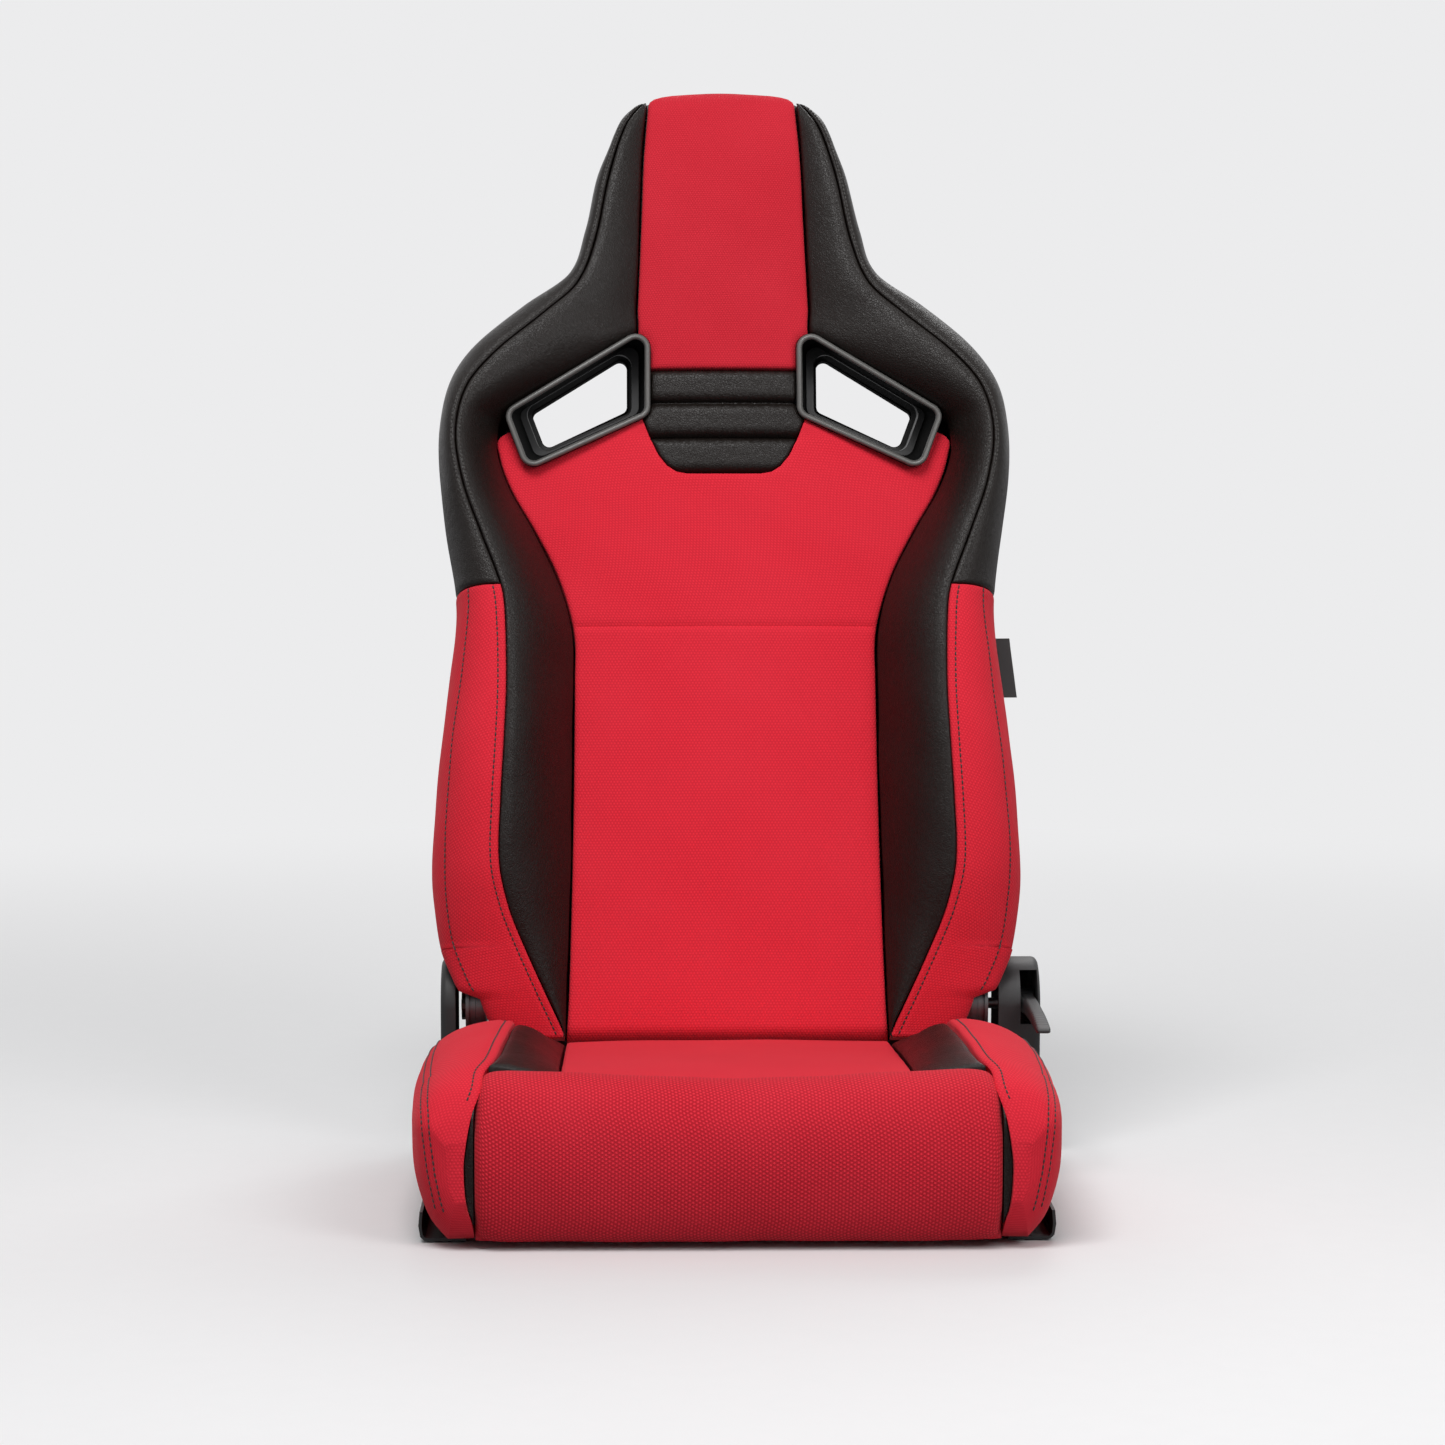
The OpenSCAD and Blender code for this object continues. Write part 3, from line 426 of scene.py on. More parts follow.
def ring_faces(rings, count, first=0, closed=False):
    """Quads between neighbouring rings of points, and from the last ring to the first if closed."""
    faces = []
    for j in range(rings if closed else rings - 1):
        here, there = first + j * count, first + (j + 1) % rings * count
        faces += [(here + i, here + (i + 1) % count, there + (i + 1) % count, there + i)
                  for i in range(count)]
    return faces


def grid_piece(name, rows, unrolled):
    """Closed mesh over rings of points, with a UV map named unrolled."""
    count = len(rows[0])
    mesh = bpy.data.meshes.new(name)
    flat = [p for row in rows for p in row]
    uv = [p for row in unrolled for p in row]
    faces = ring_faces(len(rows), count)
    faces.append(tuple(range(count - 1, -1, -1)))
    faces.append(tuple((len(rows) - 1) * count + i for i in range(count)))
    mesh.from_pydata(flat, [], faces)
    layer = mesh.uv_layers.new(name="unrolled")
    for loop in mesh.loops:
        layer.data[loop.index].uv = uv[loop.vertex_index]
    for end in (mesh.polygons[-2], mesh.polygons[-1]):
        for index in end.loop_indices:
            place = flat[mesh.loops[index].vertex_index]
            layer.data[index].uv = (place[0], place[2])
    return finished(name, mesh)


tools = []


def block(name, rings):
    """A hidden closed block between two outlines, to cut other pieces with."""
    mesh = bpy.data.meshes.new(name)
    count = len(rings[0])
    faces = [tuple(range(count)), tuple(range(count, 2 * count))] + ring_faces(2, count)
    mesh.from_pydata([p for ring in rings for p in ring], [], faces)
    tool = finished(name, mesh)
    tool.hide_render = True
    tools.append(tool)
    return tool


def tube_of(name, rings, turned=()):
    """Closed mesh over rings, and over a second run of rings that closes on itself."""
    count = len(rings[0])
    points = [p for ring in rings for p in ring]
    faces = ring_faces(len(rings), count)
    faces.append(tuple(range(count)))
    faces.append(tuple((len(rings) - 1) * count + i for i in range(count)))
    if turned:
        faces += ring_faces(len(turned), len(turned[0]), first=len(points), closed=True)
        points += [p for ring in turned for p in ring]
    mesh = bpy.data.meshes.new(name)
    mesh.from_pydata(points, [], faces)
    return finished(name, mesh)


def finished(name, mesh):
    """Object at the world origin with outward faces and smooth shading."""
    work = bmesh.new()
    work.from_mesh(mesh)
    bmesh.ops.recalc_face_normals(work, faces=work.faces)
    work.to_mesh(mesh)
    work.free()
    mesh.polygons.foreach_set("use_smooth", [True] * len(mesh.polygons))
    mesh.set_sharp_from_angle(angle=math.radians(SHARP_ANGLE))
    piece = bpy.data.objects.new(name, mesh)
    bpy.context.scene.collection.objects.link(piece)
    return piece


# %% Cut a piece, and hand it over


def baked(piece):
    """Turns the modifiers into plain mesh and sharpens its hard corners."""
    graph = bpy.context.evaluated_depsgraph_get()
    result = bpy.data.meshes.new_from_object(piece.evaluated_get(graph), depsgraph=graph,
                                             preserve_all_data_layers=True)
    piece.modifiers.clear()
    piece.data = result
    result.set_sharp_from_angle(angle=math.radians(SHARP_ANGLE))
    return piece


def cut(piece, *blocks):
    """Takes the blocks' shapes out of a piece."""
    for tool in blocks:
        modifier = piece.modifiers.new("cut", "BOOLEAN")
        modifier.operation = "DIFFERENCE"
        modifier.solver = "EXACT"
        modifier.object = tool
    return baked(piece)


def dress(piece, finish, body, slot, *nodes, fill=None):
    """Gives a piece its finish and its body, and hides the CAD nodes that it stands for. The slot is
    not used.
    """
    piece.data.materials.clear()
    piece.data.materials.append(finish)
    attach(piece, body)
    if nodes:
        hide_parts(*nodes)
    print(piece.name, len(piece.data.polygons), "faces")
    return piece


print("roll at the seam:", roll(0), "and 3 mm in:", round(roll(3), 2))

# %% [markdown]
# ## Woven red cloth
# The red panels are a dyed basket weave: small threads in staggered rows, about three millimetres
# from one to the next. The weave is worked out from the cover's unrolled coordinates, so it bends
# with the seams. Its heights feed a bump, its hollows are darker, as dyeing and painted shade make
# them, and its raised threads are paler, as a painted highlight.

# %% The cloth
WEAVE_ACROSS, WEAVE_ALONG = 0.0030, 0.0026
WANDER_ACROSS, WANDER_ALONG = 0.0012, 0.0009
FIBRE_SCALE = 2600.0
RED_THREAD = srgb(244, 42, 62)
RED_HOLLOW = srgb(156, 9, 28)
# Paler red, for patches faded at random and for the painted highlight on raised threads
RED_WORN_AND_HIGHLIGHT = srgb(248, 66, 84)


def woven_cloth(name, across, along, depth, contrast, painted_light_share=1.0):
    """Basket weave from its pitches, its relief, its contrast, and a share that darkens it all as
    painted shade.
    """
    cloth = Finish(name, roughness=0.82, sheen_weight=0.35, sheen_roughness=0.45)
    cloth.shader.inputs["Specular IOR Level"].default_value = 0.25
    cloth.shader.inputs["Sheen Tint"].default_value = srgb(255, 120, 125)
    here = cloth.place(uv=True)
    warp = cloth.noise(here, 60.0, 2.0)
    x, y, _ = cloth.parts(here)
    x = x + (warp - 0.5) * WANDER_ACROSS
    y = y + (warp - 0.5) * WANDER_ALONG
    row = (y / along).floor()
    shift = row.modulo(2.0) * 0.5
    u = (x / across + shift).modulo(1.0) - 0.5
    v = (y / along).modulo(1.0) - 0.5
    dot = (1.0 - (u * u * 7.0 + v * v * 5.0)).limited()
    fibre = cloth.noise(here, FIBRE_SCALE, 2.0, 0.7)
    height = dot + fibre * 0.22
    tone_and_shade = (dot * contrast + (1.0 - contrast) + (fibre - 0.5) * 0.35).limited()
    wide = cloth.noise(here, 9.0, 3.0)
    colour = cloth.mix(tone_and_shade, shaded(RED_HOLLOW, painted_light_share), shaded(RED_THREAD, painted_light_share))
    # Wide patches fade at random, and the raised threads are paler, a painted highlight
    faded_and_highlit = cloth.mix((wide - 0.5) * 0.35 + 0.06 + dot * contrast * 0.3, colour, RED_WORN_AND_HIGHLIGHT)
    return cloth.wear(Base_Color=faded_and_highlit, Roughness=0.9 - dot * 0.14,
                      Normal=cloth.bump(height, depth, strength=0.75))


cloth = woven_cloth("red_basket_weave", WEAVE_ACROSS, WEAVE_ALONG, 0.00035, 0.32)
coarse_cloth = woven_cloth("red_coarse_weave", WEAVE_ACROSS * 1.15, WEAVE_ALONG * 1.1, 0.0006, 0.66)
# The headrest's cloth is finer, and darker all over as painted shade, since less light falls there
fine_shaded_cloth = woven_cloth("red_fine_weave_painted_shade", WEAVE_ACROSS * 0.85, WEAVE_ALONG * 0.85, 0.0003, 0.28,
                         painted_light_share=0.74)
print("cloth:", cloth.name, coarse_cloth.name, fine_shaded_cloth.name)

# %% [markdown]
# ## Black leatherette
# The wings are covered in a vinyl leather: warm near-black, a fine pebble grain, and a soft satin
# gloss that is a little drier in the grain's valleys. Two Voronoi scales give the pebbles and the
# creases between them, larger soft folds run where the skin is drawn tight, and a slow noise stops
# the gloss from being even.

# %% The leatherette
PEBBLE_SCALE, CREASE_SCALE, FOLD_SCALE = 820.0, 430.0, 70.0


def leatherette(name, base, gloss):
    skin = Finish(name, roughness=gloss)
    skin.shader.inputs["Specular IOR Level"].default_value = 0.24
    here = skin.place()
    pebbles = skin.add("TexVoronoi", {"feature": "SMOOTH_F1"},
                       {"Vector": here, "Scale": PEBBLE_SCALE, "Smoothness": 0.5})
    creases = skin.add("TexVoronoi", {"feature": "DISTANCE_TO_EDGE"},
                       {"Vector": here, "Scale": CREASE_SCALE})
    soft = skin.noise(here, 26.0, 4.0)
    fine = skin.noise(here, 2400.0, 2.0)
    valley = (1.0 - creases * 9.0).limited()
    drawn = skin.noise(here, FOLD_SCALE, 4.0, 0.6)
    fold = ((drawn - 0.5) * (drawn - 0.5) * 160.0).limited()
    height = (1.0 - pebbles) * 0.6 - valley * 0.55 + fine * 0.12 + fold * 0.45
    # The grain's valleys are darker as painted shade in its creases, and slow and fine noise vary the
    # tone at random
    tone_and_shade = (soft * 0.5 + (1.0 - valley) * 0.35 + fine * 0.15).limited()
    return skin.wear(Base_Color=skin.mix(tone_and_shade, shaded(base, 0.55), base),
                     Roughness=gloss + valley * 0.12 + (soft - 0.5) * 0.14,
                     Normal=skin.bump(height, 0.0005, strength=0.55))


leather = leatherette("black_leatherette", srgb(27, 21, 18), 0.34)
print("leatherette:", leather.name)

# %% [markdown]
# ## Moulded plastic, metal and thread
# Plastic parts come out of a spark-eroded mould, so they have a fine even stipple and brighter, more
# polished edges where hands and belts rub them. Steel is zinc plated or painted black. Thread is a
# twisted cord, so its bump follows the twist.

# %% Plastic, metal and thread
TWIST_SCALE = 5200.0


def moulded(name, base, gloss, stipple, depth, shine=0.45):
    plastic = Finish(name, roughness=gloss)
    plastic.shader.inputs["Specular IOR Level"].default_value = shine
    here = plastic.place()
    grain = plastic.noise(here, stipple, 3.0, 0.65)
    slow = plastic.noise(here, 14.0, 3.0)
    geometry = plastic.add("NewGeometry", out="Pointiness")
    edge = ((geometry - 0.52) * 9.0).limited()
    rubbed = (edge * 0.5 + (slow - 0.5) * 0.25 + 0.1).limited()
    return plastic.wear(Base_Color=plastic.mix(rubbed, base, shaded(base, 2.2, lift=0.01)),
                        Roughness=gloss + (grain - 0.5) * 0.18 - edge * 0.08,
                        Normal=plastic.bump(grain, depth, strength=0.5))


def metal(name, base, gloss, streak, bare):
    steel = Finish(name, metallic=bare, roughness=gloss)
    here = steel.place()
    x, y, z = steel.parts(here)
    stretched = steel.add("CombineXYZ", {}, {"X": x * streak, "Y": y, "Z": z})
    lines = steel.noise(stretched, 900.0, 3.0, 0.6)
    cloud = steel.noise(here, 38.0, 4.0)
    clean = (cloud * 1.2 - 0.1).limited()
    return steel.wear(Base_Color=steel.mix(clean, shaded(base, 0.62), base),
                      Roughness=gloss + (lines - 0.5) * 0.22 + (cloud - 0.5) * 0.1,
                      Normal=steel.bump(lines, 0.00012, strength=0.35))


def twisted_thread(name, base):
    thread = Finish(name, roughness=0.6, sheen_weight=0.2)
    x, y, z = thread.parts(thread.place())
    twist = ((x + y + z) * TWIST_SCALE).sin() * 0.5 + 0.5
    fuzz = thread.noise(thread.place(), 3000.0)
    lit = (twist * 0.7 + fuzz * 0.3).limited()
    return thread.wear(Base_Color=thread.mix(lit, shaded(base, 0.45), base),
                       Roughness=0.68 - twist * 0.14,
                       Normal=thread.bump(twist, 0.0001, strength=0.6))


bezel_plastic = moulded("satin_bezel_plastic", srgb(86, 85, 83), 0.34, 2600.0, 0.00008)
# The ducts are the bezels' own plastic, painted near-black as the shade inside the slots, and nearly
# without reflection
shaded_duct_plastic = moulded("duct_plastic_painted_shade", srgb(8, 8, 8), 0.75, 2600.0, 0.00008, 0.05)
black_plastic = moulded("black_moulded_plastic", srgb(27, 27, 28), 0.5, 1500.0, 0.0002)
painted_steel = metal("black_painted_steel", srgb(30, 30, 31), 0.38, 1.0, 0.0)
zinc_steel = metal("zinc_plated_steel", srgb(112, 113, 114), 0.42, 0.15, 1.0)
spring_steel = metal("oiled_spring_steel", srgb(78, 76, 74), 0.34, 0.3, 1.0)
dark_red_thread = twisted_thread("dark_red_thread", srgb(52, 4, 10))
black_thread = twisted_thread("black_thread", srgb(58, 55, 52))
tag_cloth = twisted_thread("black_tag_ribbon", srgb(24, 24, 25))
print("finishes:", len(bpy.data.materials))

# %% [markdown]
# ## The harness slots
# Two slots pierce the backrest under the headrest, so that harness belts can pass. Each opens
# outwards and downwards, and its bezel stands a little proud of the covers. The same outline cuts
# the covers and shapes the bezel, so the two always meet.

# %% The slot outline
SLOT_CORNERS = [(68.5, 645), (68.5, 554), (186, 497), (208, 556)]
SLOT_X, SLOT_S, SLOT_TILT, SLOT_N = 135.0, 562.0, 0.06, 33.0
SLOT_ROUND = 14.0
# The slots rise towards the rear, which makes them level in the leaning backrest
SLOT_RISE = 0.25
# Reach and depth of the roll where covers disappear behind a bezel
BEZEL_ROLL = (9.0, 3.2)


def slot_path(grow=0.0, points_per_corner=9):
    """Rounded outline of a slot, grown outwards, as (x, s) pairs."""
    centre = np.mean(SLOT_CORNERS, axis=0)
    count = len(SLOT_CORNERS)
    found = []
    for k in range(count):
        here = np.array(SLOT_CORNERS[k], float)
        before = np.array(SLOT_CORNERS[k - 1], float)
        after = np.array(SLOT_CORNERS[(k + 1) % count], float)
        arriving = (here - before) / np.linalg.norm(here - before)
        leaving = (after - here) / np.linalg.norm(after - here)
        normals = []
        for way in (arriving, leaving):
            out = np.array([way[1], -way[0]])
            if out @ (here - centre) < 0:
                out = -out
            normals.append(out)
        spread = (normals[0] + normals[1]) / (1 + normals[0] @ normals[1])
        hub = here - spread * SLOT_ROUND
        radius = SLOT_ROUND + grow
        start = math.atan2(normals[0][1], normals[0][0])
        turn = math.atan2(normals[1][1], normals[1][0]) - start
        turn = (turn + math.pi) % (2 * math.pi) - math.pi
        for j in range(points_per_corner):
            angle = start + turn * j / (points_per_corner - 1)
            found.append(tuple(hub + radius * np.array([math.cos(angle), math.sin(angle)])))
    return found


def edge_distance(p, outline):
    """Distance from a point to the nearest side of a closed outline."""
    run = np.roll(outline, -1, axis=0) - outline
    t = np.clip(np.einsum("ij,ij->i", p - outline, run) / np.einsum("ij,ij->i", run, run), 0, 1)
    return np.linalg.norm(p - (outline + run * t[:, None]), axis=1).min()


def slot_gap(x, s, outline=np.array(slot_path(0.0, 5))):
    """Distance from a point of the backrest to the slot's outline, negative inside."""
    p = np.array([abs(x), s])
    near = edge_distance(p, outline)
    inside = 0
    for (ax, ay), (bx, by) in zip(outline, np.roll(outline, -1, axis=0)):
        if (ay > p[1]) != (by > p[1]) and p[0] < (bx - ax) * (p[1] - ay) / (by - ay) + ax:
            inside += 1
    return -near if inside % 2 else near


def in_slot(x, depth, s):
    """A point of the slot's own frame, in the backrest's frame."""
    return x, SLOT_TILT * (x - SLOT_X) + SLOT_N + depth, s - SLOT_RISE * depth


def tuck(x, s):
    """Covers roll down where they disappear behind the bezel."""
    if not 470 < s < 660 or abs(x) < 50:
        return 0.0
    a, b = curve(WING_EDGE, s), curve(CREST_EDGE, s)
    t = min(1.0, max(0.0, (abs(x) - a) / (b - a)))
    n = mix(curve(CREST_N, s), curve(FACE_N, s), (1 - t) ** 1.6)
    shift = SLOT_RISE * (n - SLOT_N - SLOT_TILT * (abs(x) - SLOT_X))
    return roll(max(0.0, slot_gap(x, s + shift)), *BEZEL_ROLL)


def slot_block(name, side, path, depths):
    """A block of a slot's outline, run along the slot between two depths."""
    return block(name, [[on_back(x * side, n, s) for x, n, s in
                         [in_slot(x, depth, s) for x, s in path]] for depth in depths])


cutters = {side: slot_block("slot_cutter", side, slot_path(0.3), (-140.0, 100.0)) for side, _ in SIDES}
print("slot outline:", len(slot_path()), "points")

# %% [markdown]
# ## The wings of the backrest
# One long piece of leatherette runs on each side, from the foot of the backrest, up the inner face
# of the bolster, round over the harness slot and along the side of the headrest. Its inner seam
# meets the red insert and its outer seam is the crest of the bolster.

# %% Build both wings
FOAM_BACK, WING_FOOT, HEAD_LINE = 12.0, -38.0, 870.0
SEAM = 0.3
# A row of stitches beside the crest seam: distance from the seam, and depth of its furrow
WING_ROW, SHOULDER_FURROW = 5.0, 0.5


def wing_section(s):
    a, b = curve(WING_EDGE, s) + SEAM, curve(CREST_EDGE, s) - SEAM
    low, high = curve(FACE_N, s), curve(CREST_N, s)
    return [(mix(a, b, t), low + (high - low) * (1 - (1 - t) ** 1.6) + 2 * crown(t))
            for t in np.linspace(0, 1, 41)]


def foam_back(s):
    """The foam's rear face, which stands further forward at the foot."""
    return 16.0 if s < 10 else -FOAM_BACK


wings = {}
for side, word in SIDES:
    wings[side] = Cover(wing_section, on_back, WING_FOOT, HEAD_LINE, foam_back, side, ripple=0.45,
                        extra=tuck, seed=11 + side, grooves=(("last", WING_ROW, SHOULDER_FURROW),))
    wing = wings[side].mesh("wing_cover_" + word, step=3.6, columns=30)
    cut(wing, cutters[side])
    dress(wing, leather, BACK, "black_leather", "wing_pad_" + word, fill=0.85)

# %% [markdown]
# ## The red insert and the headrest panel
# Between the wings lies a flat red panel. It widens at the shoulders, where it runs under the slots'
# lower edges to a rounded tip, and a cross seam divides it at the chest. The headrest has a panel
# of its own, which stops above the neck pad.

# %% Build the insert and the headrest panel
INSERT_FOOT, CROSS_SEAM, INSERT_TIP = -40.0, 350.0, 558.0
NECK_EDGE = [(76, 599), (76, 549), (70, 533), (61, 514), (53, 504), (44, 498.6), (34, 497)]
NECK_TOP, NECK_FOOT, NECK_HALF = 599.0, 497.0, 76.0


def neck_half(s):
    widths, places = zip(*reversed(NECK_EDGE))
    return float(np.interp(s, places, widths, left=0, right=NECK_HALF))


def flat_section(edge, lift=3.0):
    def section(s):
        half = edge(s) - SEAM
        return [(x * half, curve(FACE_N, s) + lift * crown((x + 1) / 2))
                for x in np.linspace(-1, 1, 61)]
    return section


def neck_gap(x, s):
    """The insert rolls down round the neck pad and under the bezels."""
    drop = tuck(x, s)
    if 485 < s < 560:
        outline = np.array(NECK_EDGE + [(-a, b) for a, b in reversed(NECK_EDGE)], float)
        drop = max(drop, roll(edge_distance(np.array([x, s]), outline), 5.0, 2.5))
    return drop


def neck_cutter():
    path = [(x + 0.4 * (1 if x > 0 else -1), s - (0.6 if s < 500 else 0)) for x, s in NECK_EDGE]
    path = path + [(-x, s) for x, s in reversed(path)]
    return block("neck_cutter", [[on_back(x, n, s) for x, s in path] for n in (-60.0, 100.0)])


insert = Cover(flat_section(lambda s: curve(INSERT_EDGE, s)), on_back, INSERT_FOOT, INSERT_TIP,
               foam_back, ripple=0.3, extra=neck_gap, seed=3, grooves=(("station", CROSS_SEAM, 2.0),))
insert_piece = insert.mesh("back_insert_cover", step=3.6, columns=84)
neck_tool = neck_cutter()
cut(insert_piece, neck_tool, cutters[1], cutters[-1])
dress(insert_piece, cloth, BACK, "red_fabric", "back_insert", fill=0.8)

# The headrest panel's half widths over its rounded top edge
HEAD_TOP, HEAD_WIDEST = 883.0, 83.0
HEAD_ARCH = [(864, 71), (869, 70.6), (873, 69), (876, 65.5), (878.5, 59), (881, 45), (883, 22)]


def head_half(s):
    return curve(HEAD_ARCH, s) if s > HEAD_ARCH[0][0] else min(curve(WING_EDGE, s), HEAD_WIDEST)


def head_back(s):
    """The panel's rear face, which stands forward at the top, where the band runs behind it."""
    return -FOAM_BACK if s < 868 else -8.6


head = Cover(flat_section(head_half, 4.0), on_back, NECK_TOP + 0.6, HEAD_TOP, head_back,
             ripple=0.3, extra=tuck, seed=5)
head_piece = head.mesh("head_panel_cover", step=3.6, columns=44)
cut(head_piece, cutters[1], cutters[-1])
dress(head_piece, fine_shaded_cloth, BACK, "red_fabric", "head_insert", fill=0.8)

# %% [markdown]
# ## The outer bolsters
# Outside the crest seam the cover turns over and runs down the bolster's side to the rear cover.
# Below the colour line it is red cloth, and above it the same shape is leatherette.

# %% Build the bolsters and the shoulders
BOLSTER_FOOT, COLOUR_LINE, LEDGE_S = -38.0, 374.0, 42.0
# The foot keeps clear of the recliner, up to the ledge
CLEAR_R = 47.0
# Rows of stitches beside the crest seam: distance from the seam, and depth of their furrow
CREST_ROW, CREST_FURROW = 7.5, 1.3
SHOULDER_ROW = 4.5


def outer_back(s):
    if s < LEDGE_S:
        return CLEAR_R + min(0.0, s) * 0.5
    return mix(CLEAR_R, -FOAM_BACK, min(1.0, (s - LEDGE_S) / 1.0))


def outer_section(s):
    back = outer_back(s)
    a, b, high = curve(CREST_EDGE, s) + SEAM, curve(OUTER_EDGE, s), curve(CREST_N, s)
    low = max(back + 4, high * 0.35)
    arc = []
    for t in np.linspace(4, 88, 43):
        angle = math.radians(t)
        arc.append((a + (b - a) * math.sin(angle) ** 0.9, low + (high - low) * math.cos(angle) ** 0.8))
    arc[0] = (a, arc[0][1])
    tucked = b - 3 * min(1, (low - back) / 20)
    return arc + [(b, low - 2), (tucked, back + 1)]


outers = {}
for side, word in SIDES:
    bolster = Cover(outer_section, on_back, BOLSTER_FOOT, COLOUR_LINE - 0.5, outer_back, side,
                    rolled=(True, False), seed=21 + side, ripple=0.5,
                    grooves=(("first", CREST_ROW, CREST_FURROW),))
    shoulder = Cover(outer_section, on_back, COLOUR_LINE, HEAD_LINE, outer_back, side,
                     rolled=(True, False), seed=31 + side, ripple=0.45, extra=tuck,
                     grooves=(("first", SHOULDER_ROW, SHOULDER_FURROW),))
    outers[side] = (bolster, shoulder)
    piece = bolster.mesh("side_bolster_cover_" + word, step=3.6, columns=34)
    dress(piece, cloth, BACK, "red_fabric", "side_bolster_" + word, fill=0.85)
    piece = shoulder.mesh("shoulder_cover_" + word, step=3.6, columns=30)
    cut(piece, cutters[side])
    dress(piece, leather, BACK, "black_leather", "shoulder_side_" + word, fill=0.85)

# %% [markdown]
# ## The neck pad and the band over the headrest
# The neck pad is three small pillows, sewn across with two channels. Leatherette gathers where it
# is sewn down, so short creases run out of each channel and fade.

# %% Build the neck pad
CHANNELS = (566.0, 532.0)
PILLOW_SUNK, PILLOW_RISE = -5.0, 8.5


def neck_surface(x, s):
    edges = [NECK_FOOT] + sorted(CHANNELS) + [NECK_TOP]
    lift = PILLOW_SUNK
    for a, b in zip(edges, edges[1:]):
        if a <= s <= b:
            t = (s - a) / (b - a)
            full = 1.0 if a > NECK_FOOT else 0.9
            lift = PILLOW_SUNK + PILLOW_RISE * (1 - abs(2 * t - 1) ** 5.0) * full
    near = min(abs(s - c) for c in CHANNELS + (NECK_TOP,))
    pleat = math.sin(x * 0.62 + 1.7 * math.sin(x * 0.11)) * math.sin(x * 0.23 + 2.0)
    lift += 0.6 * pleat * math.exp(-((near - 3) / 3.0) ** 2)
    return curve(FACE_N, s) + lift + 2.4 * crown((x / NECK_HALF + 1) / 2)


def neck_section(s):
    half = neck_half(s) - SEAM
    return [(x * half, neck_surface(x * half, s)) for x in np.linspace(-1, 1, 121)]


neck = Cover(neck_section, on_back, NECK_FOOT + 0.4, NECK_TOP - 0.4, lambda s: -FOAM_BACK,
             ripple=0.15, extra=tuck, seed=6)
neck_piece = neck.mesh("neck_pad_cover", step=1.2, columns=96)
cut(neck_piece, cutters[1], cutters[-1])
dress(neck_piece, leather, BACK, "black_leather", "neck_pad", fill=0.9)

# %% Build the band behind the headrest's top edge
BAND_HALF, BAND_N, BAND_LOW = 69.0, -9.4, 872.8
BAND_HIGH = [(0, 883.6), (20, 882.6), (43, 879.6), (60, 876), (69, 874.4)]


def band_rows():
    rows, unrolled = [], []
    for x in np.linspace(-BAND_HALF, BAND_HALF, 71):
        high = curve(BAND_HIGH, abs(x))
        arc = [(-FOAM_BACK, BAND_LOW), (BAND_N, BAND_LOW)]
        for t in np.linspace(0, 1, 6):
            angle = math.radians(90 * t)
            depth = mix(BAND_N, -FOAM_BACK, 0.8 * (1 - math.cos(angle)))
            arc.append((depth, high - 1 + math.sin(angle)))
        arc.append((-FOAM_BACK, high))
        rows.append([on_back(x, q, s) for q, s in arc])
        unrolled.append([(x * MM, k * 0.004) for k in range(len(arc))])
    return rows, unrolled


band = grid_piece("head_band_cover", *band_rows())
dress(band, leather, BACK, "black_leather", "head_band", fill=0.8)

# %% [markdown]
# ## The cushion
# The cushion sits on the base. A thick front roll supports the thighs, a flat panel lies behind it,
# and each side has a bolster of red cloth with a leatherette panel on its inner face. Its sections
# run across the seat, and its stations run from the front to the rear.

# %% Seam curves of the cushion
SIT_Z, SIT_FALL = 139.0, 30.0
ROLL_FRONT_Y, ROLL_REAR_Y, CUSHION_REAR_Y = -268.0, -205.0, 177.0
BOLSTER_FRONT_Y, BOLSTER_REAR_Y = -262.0, 165.0
CENTRE_HALF, ROLL_HALF = 147.0, 216.0
# Heights of the foam's underside and the bolster's crest, and places across of the bolster's side
FOAM_Z, PAD_Z, SIDE_PAD_Z, BOLSTER_Z = 7.0, 50.5, 54.4, 156.0
RAIL_X, WALL_X, SIDE_FOAM = 224.5, 228.5, 47.5
CUSHION_CREST = [(-262, 222.6), (-254, 218.5), (-240, 211.5), (-215, 209), (-190, 202), (-150, 198),
                 (-100, 195), (0, 191), (60, 189), (95, 185), (120, 175.5), (140, 164), (165, 152)]
CREST_FALL = [(-262, 62), (-254, 42), (-240, 23), (-215, 12), (-190, 6), (-150, 2), (-100, 0), (20, 4),
              (60, 13), (95, 21), (120, 29), (140, 39), (165, 52)]
SIDE_FALL = [(-262, 0.63), (-254, 0.34), (-240, 0.17), (-205, 0.06), (-130, 0), (50, 0.02),
             (120, 0.17), (165, 0.42)]
LOWER_RISE = [(-262, 34), (-254, 15), (-244, 5), (-230, 0), (165, 0)]


def on_seat(x, z, y):
    """A point of the cushion, in metres. Its stations are places along Y."""
    return (x * MM, y * MM, z * MM)


def sit(y):
    return SIT_Z - SIT_FALL * (y - ROLL_REAR_Y) / (CUSHION_REAR_Y - ROLL_REAR_Y)


# The roll and the panel's front edge dip towards the middle, where the thighs part
DIP = [(0.0, 7.5), (0.35, 6.0), (0.65, 2.4), (0.82, 0.3), (1.0, 0.0)]
# How far behind the roll the panel is level again, and the crown of the sewn panels
DIP_FADE, PANEL_CROWN = 110, 2


def dip(x):
    return curve(DIP, abs(x) / ROLL_HALF)


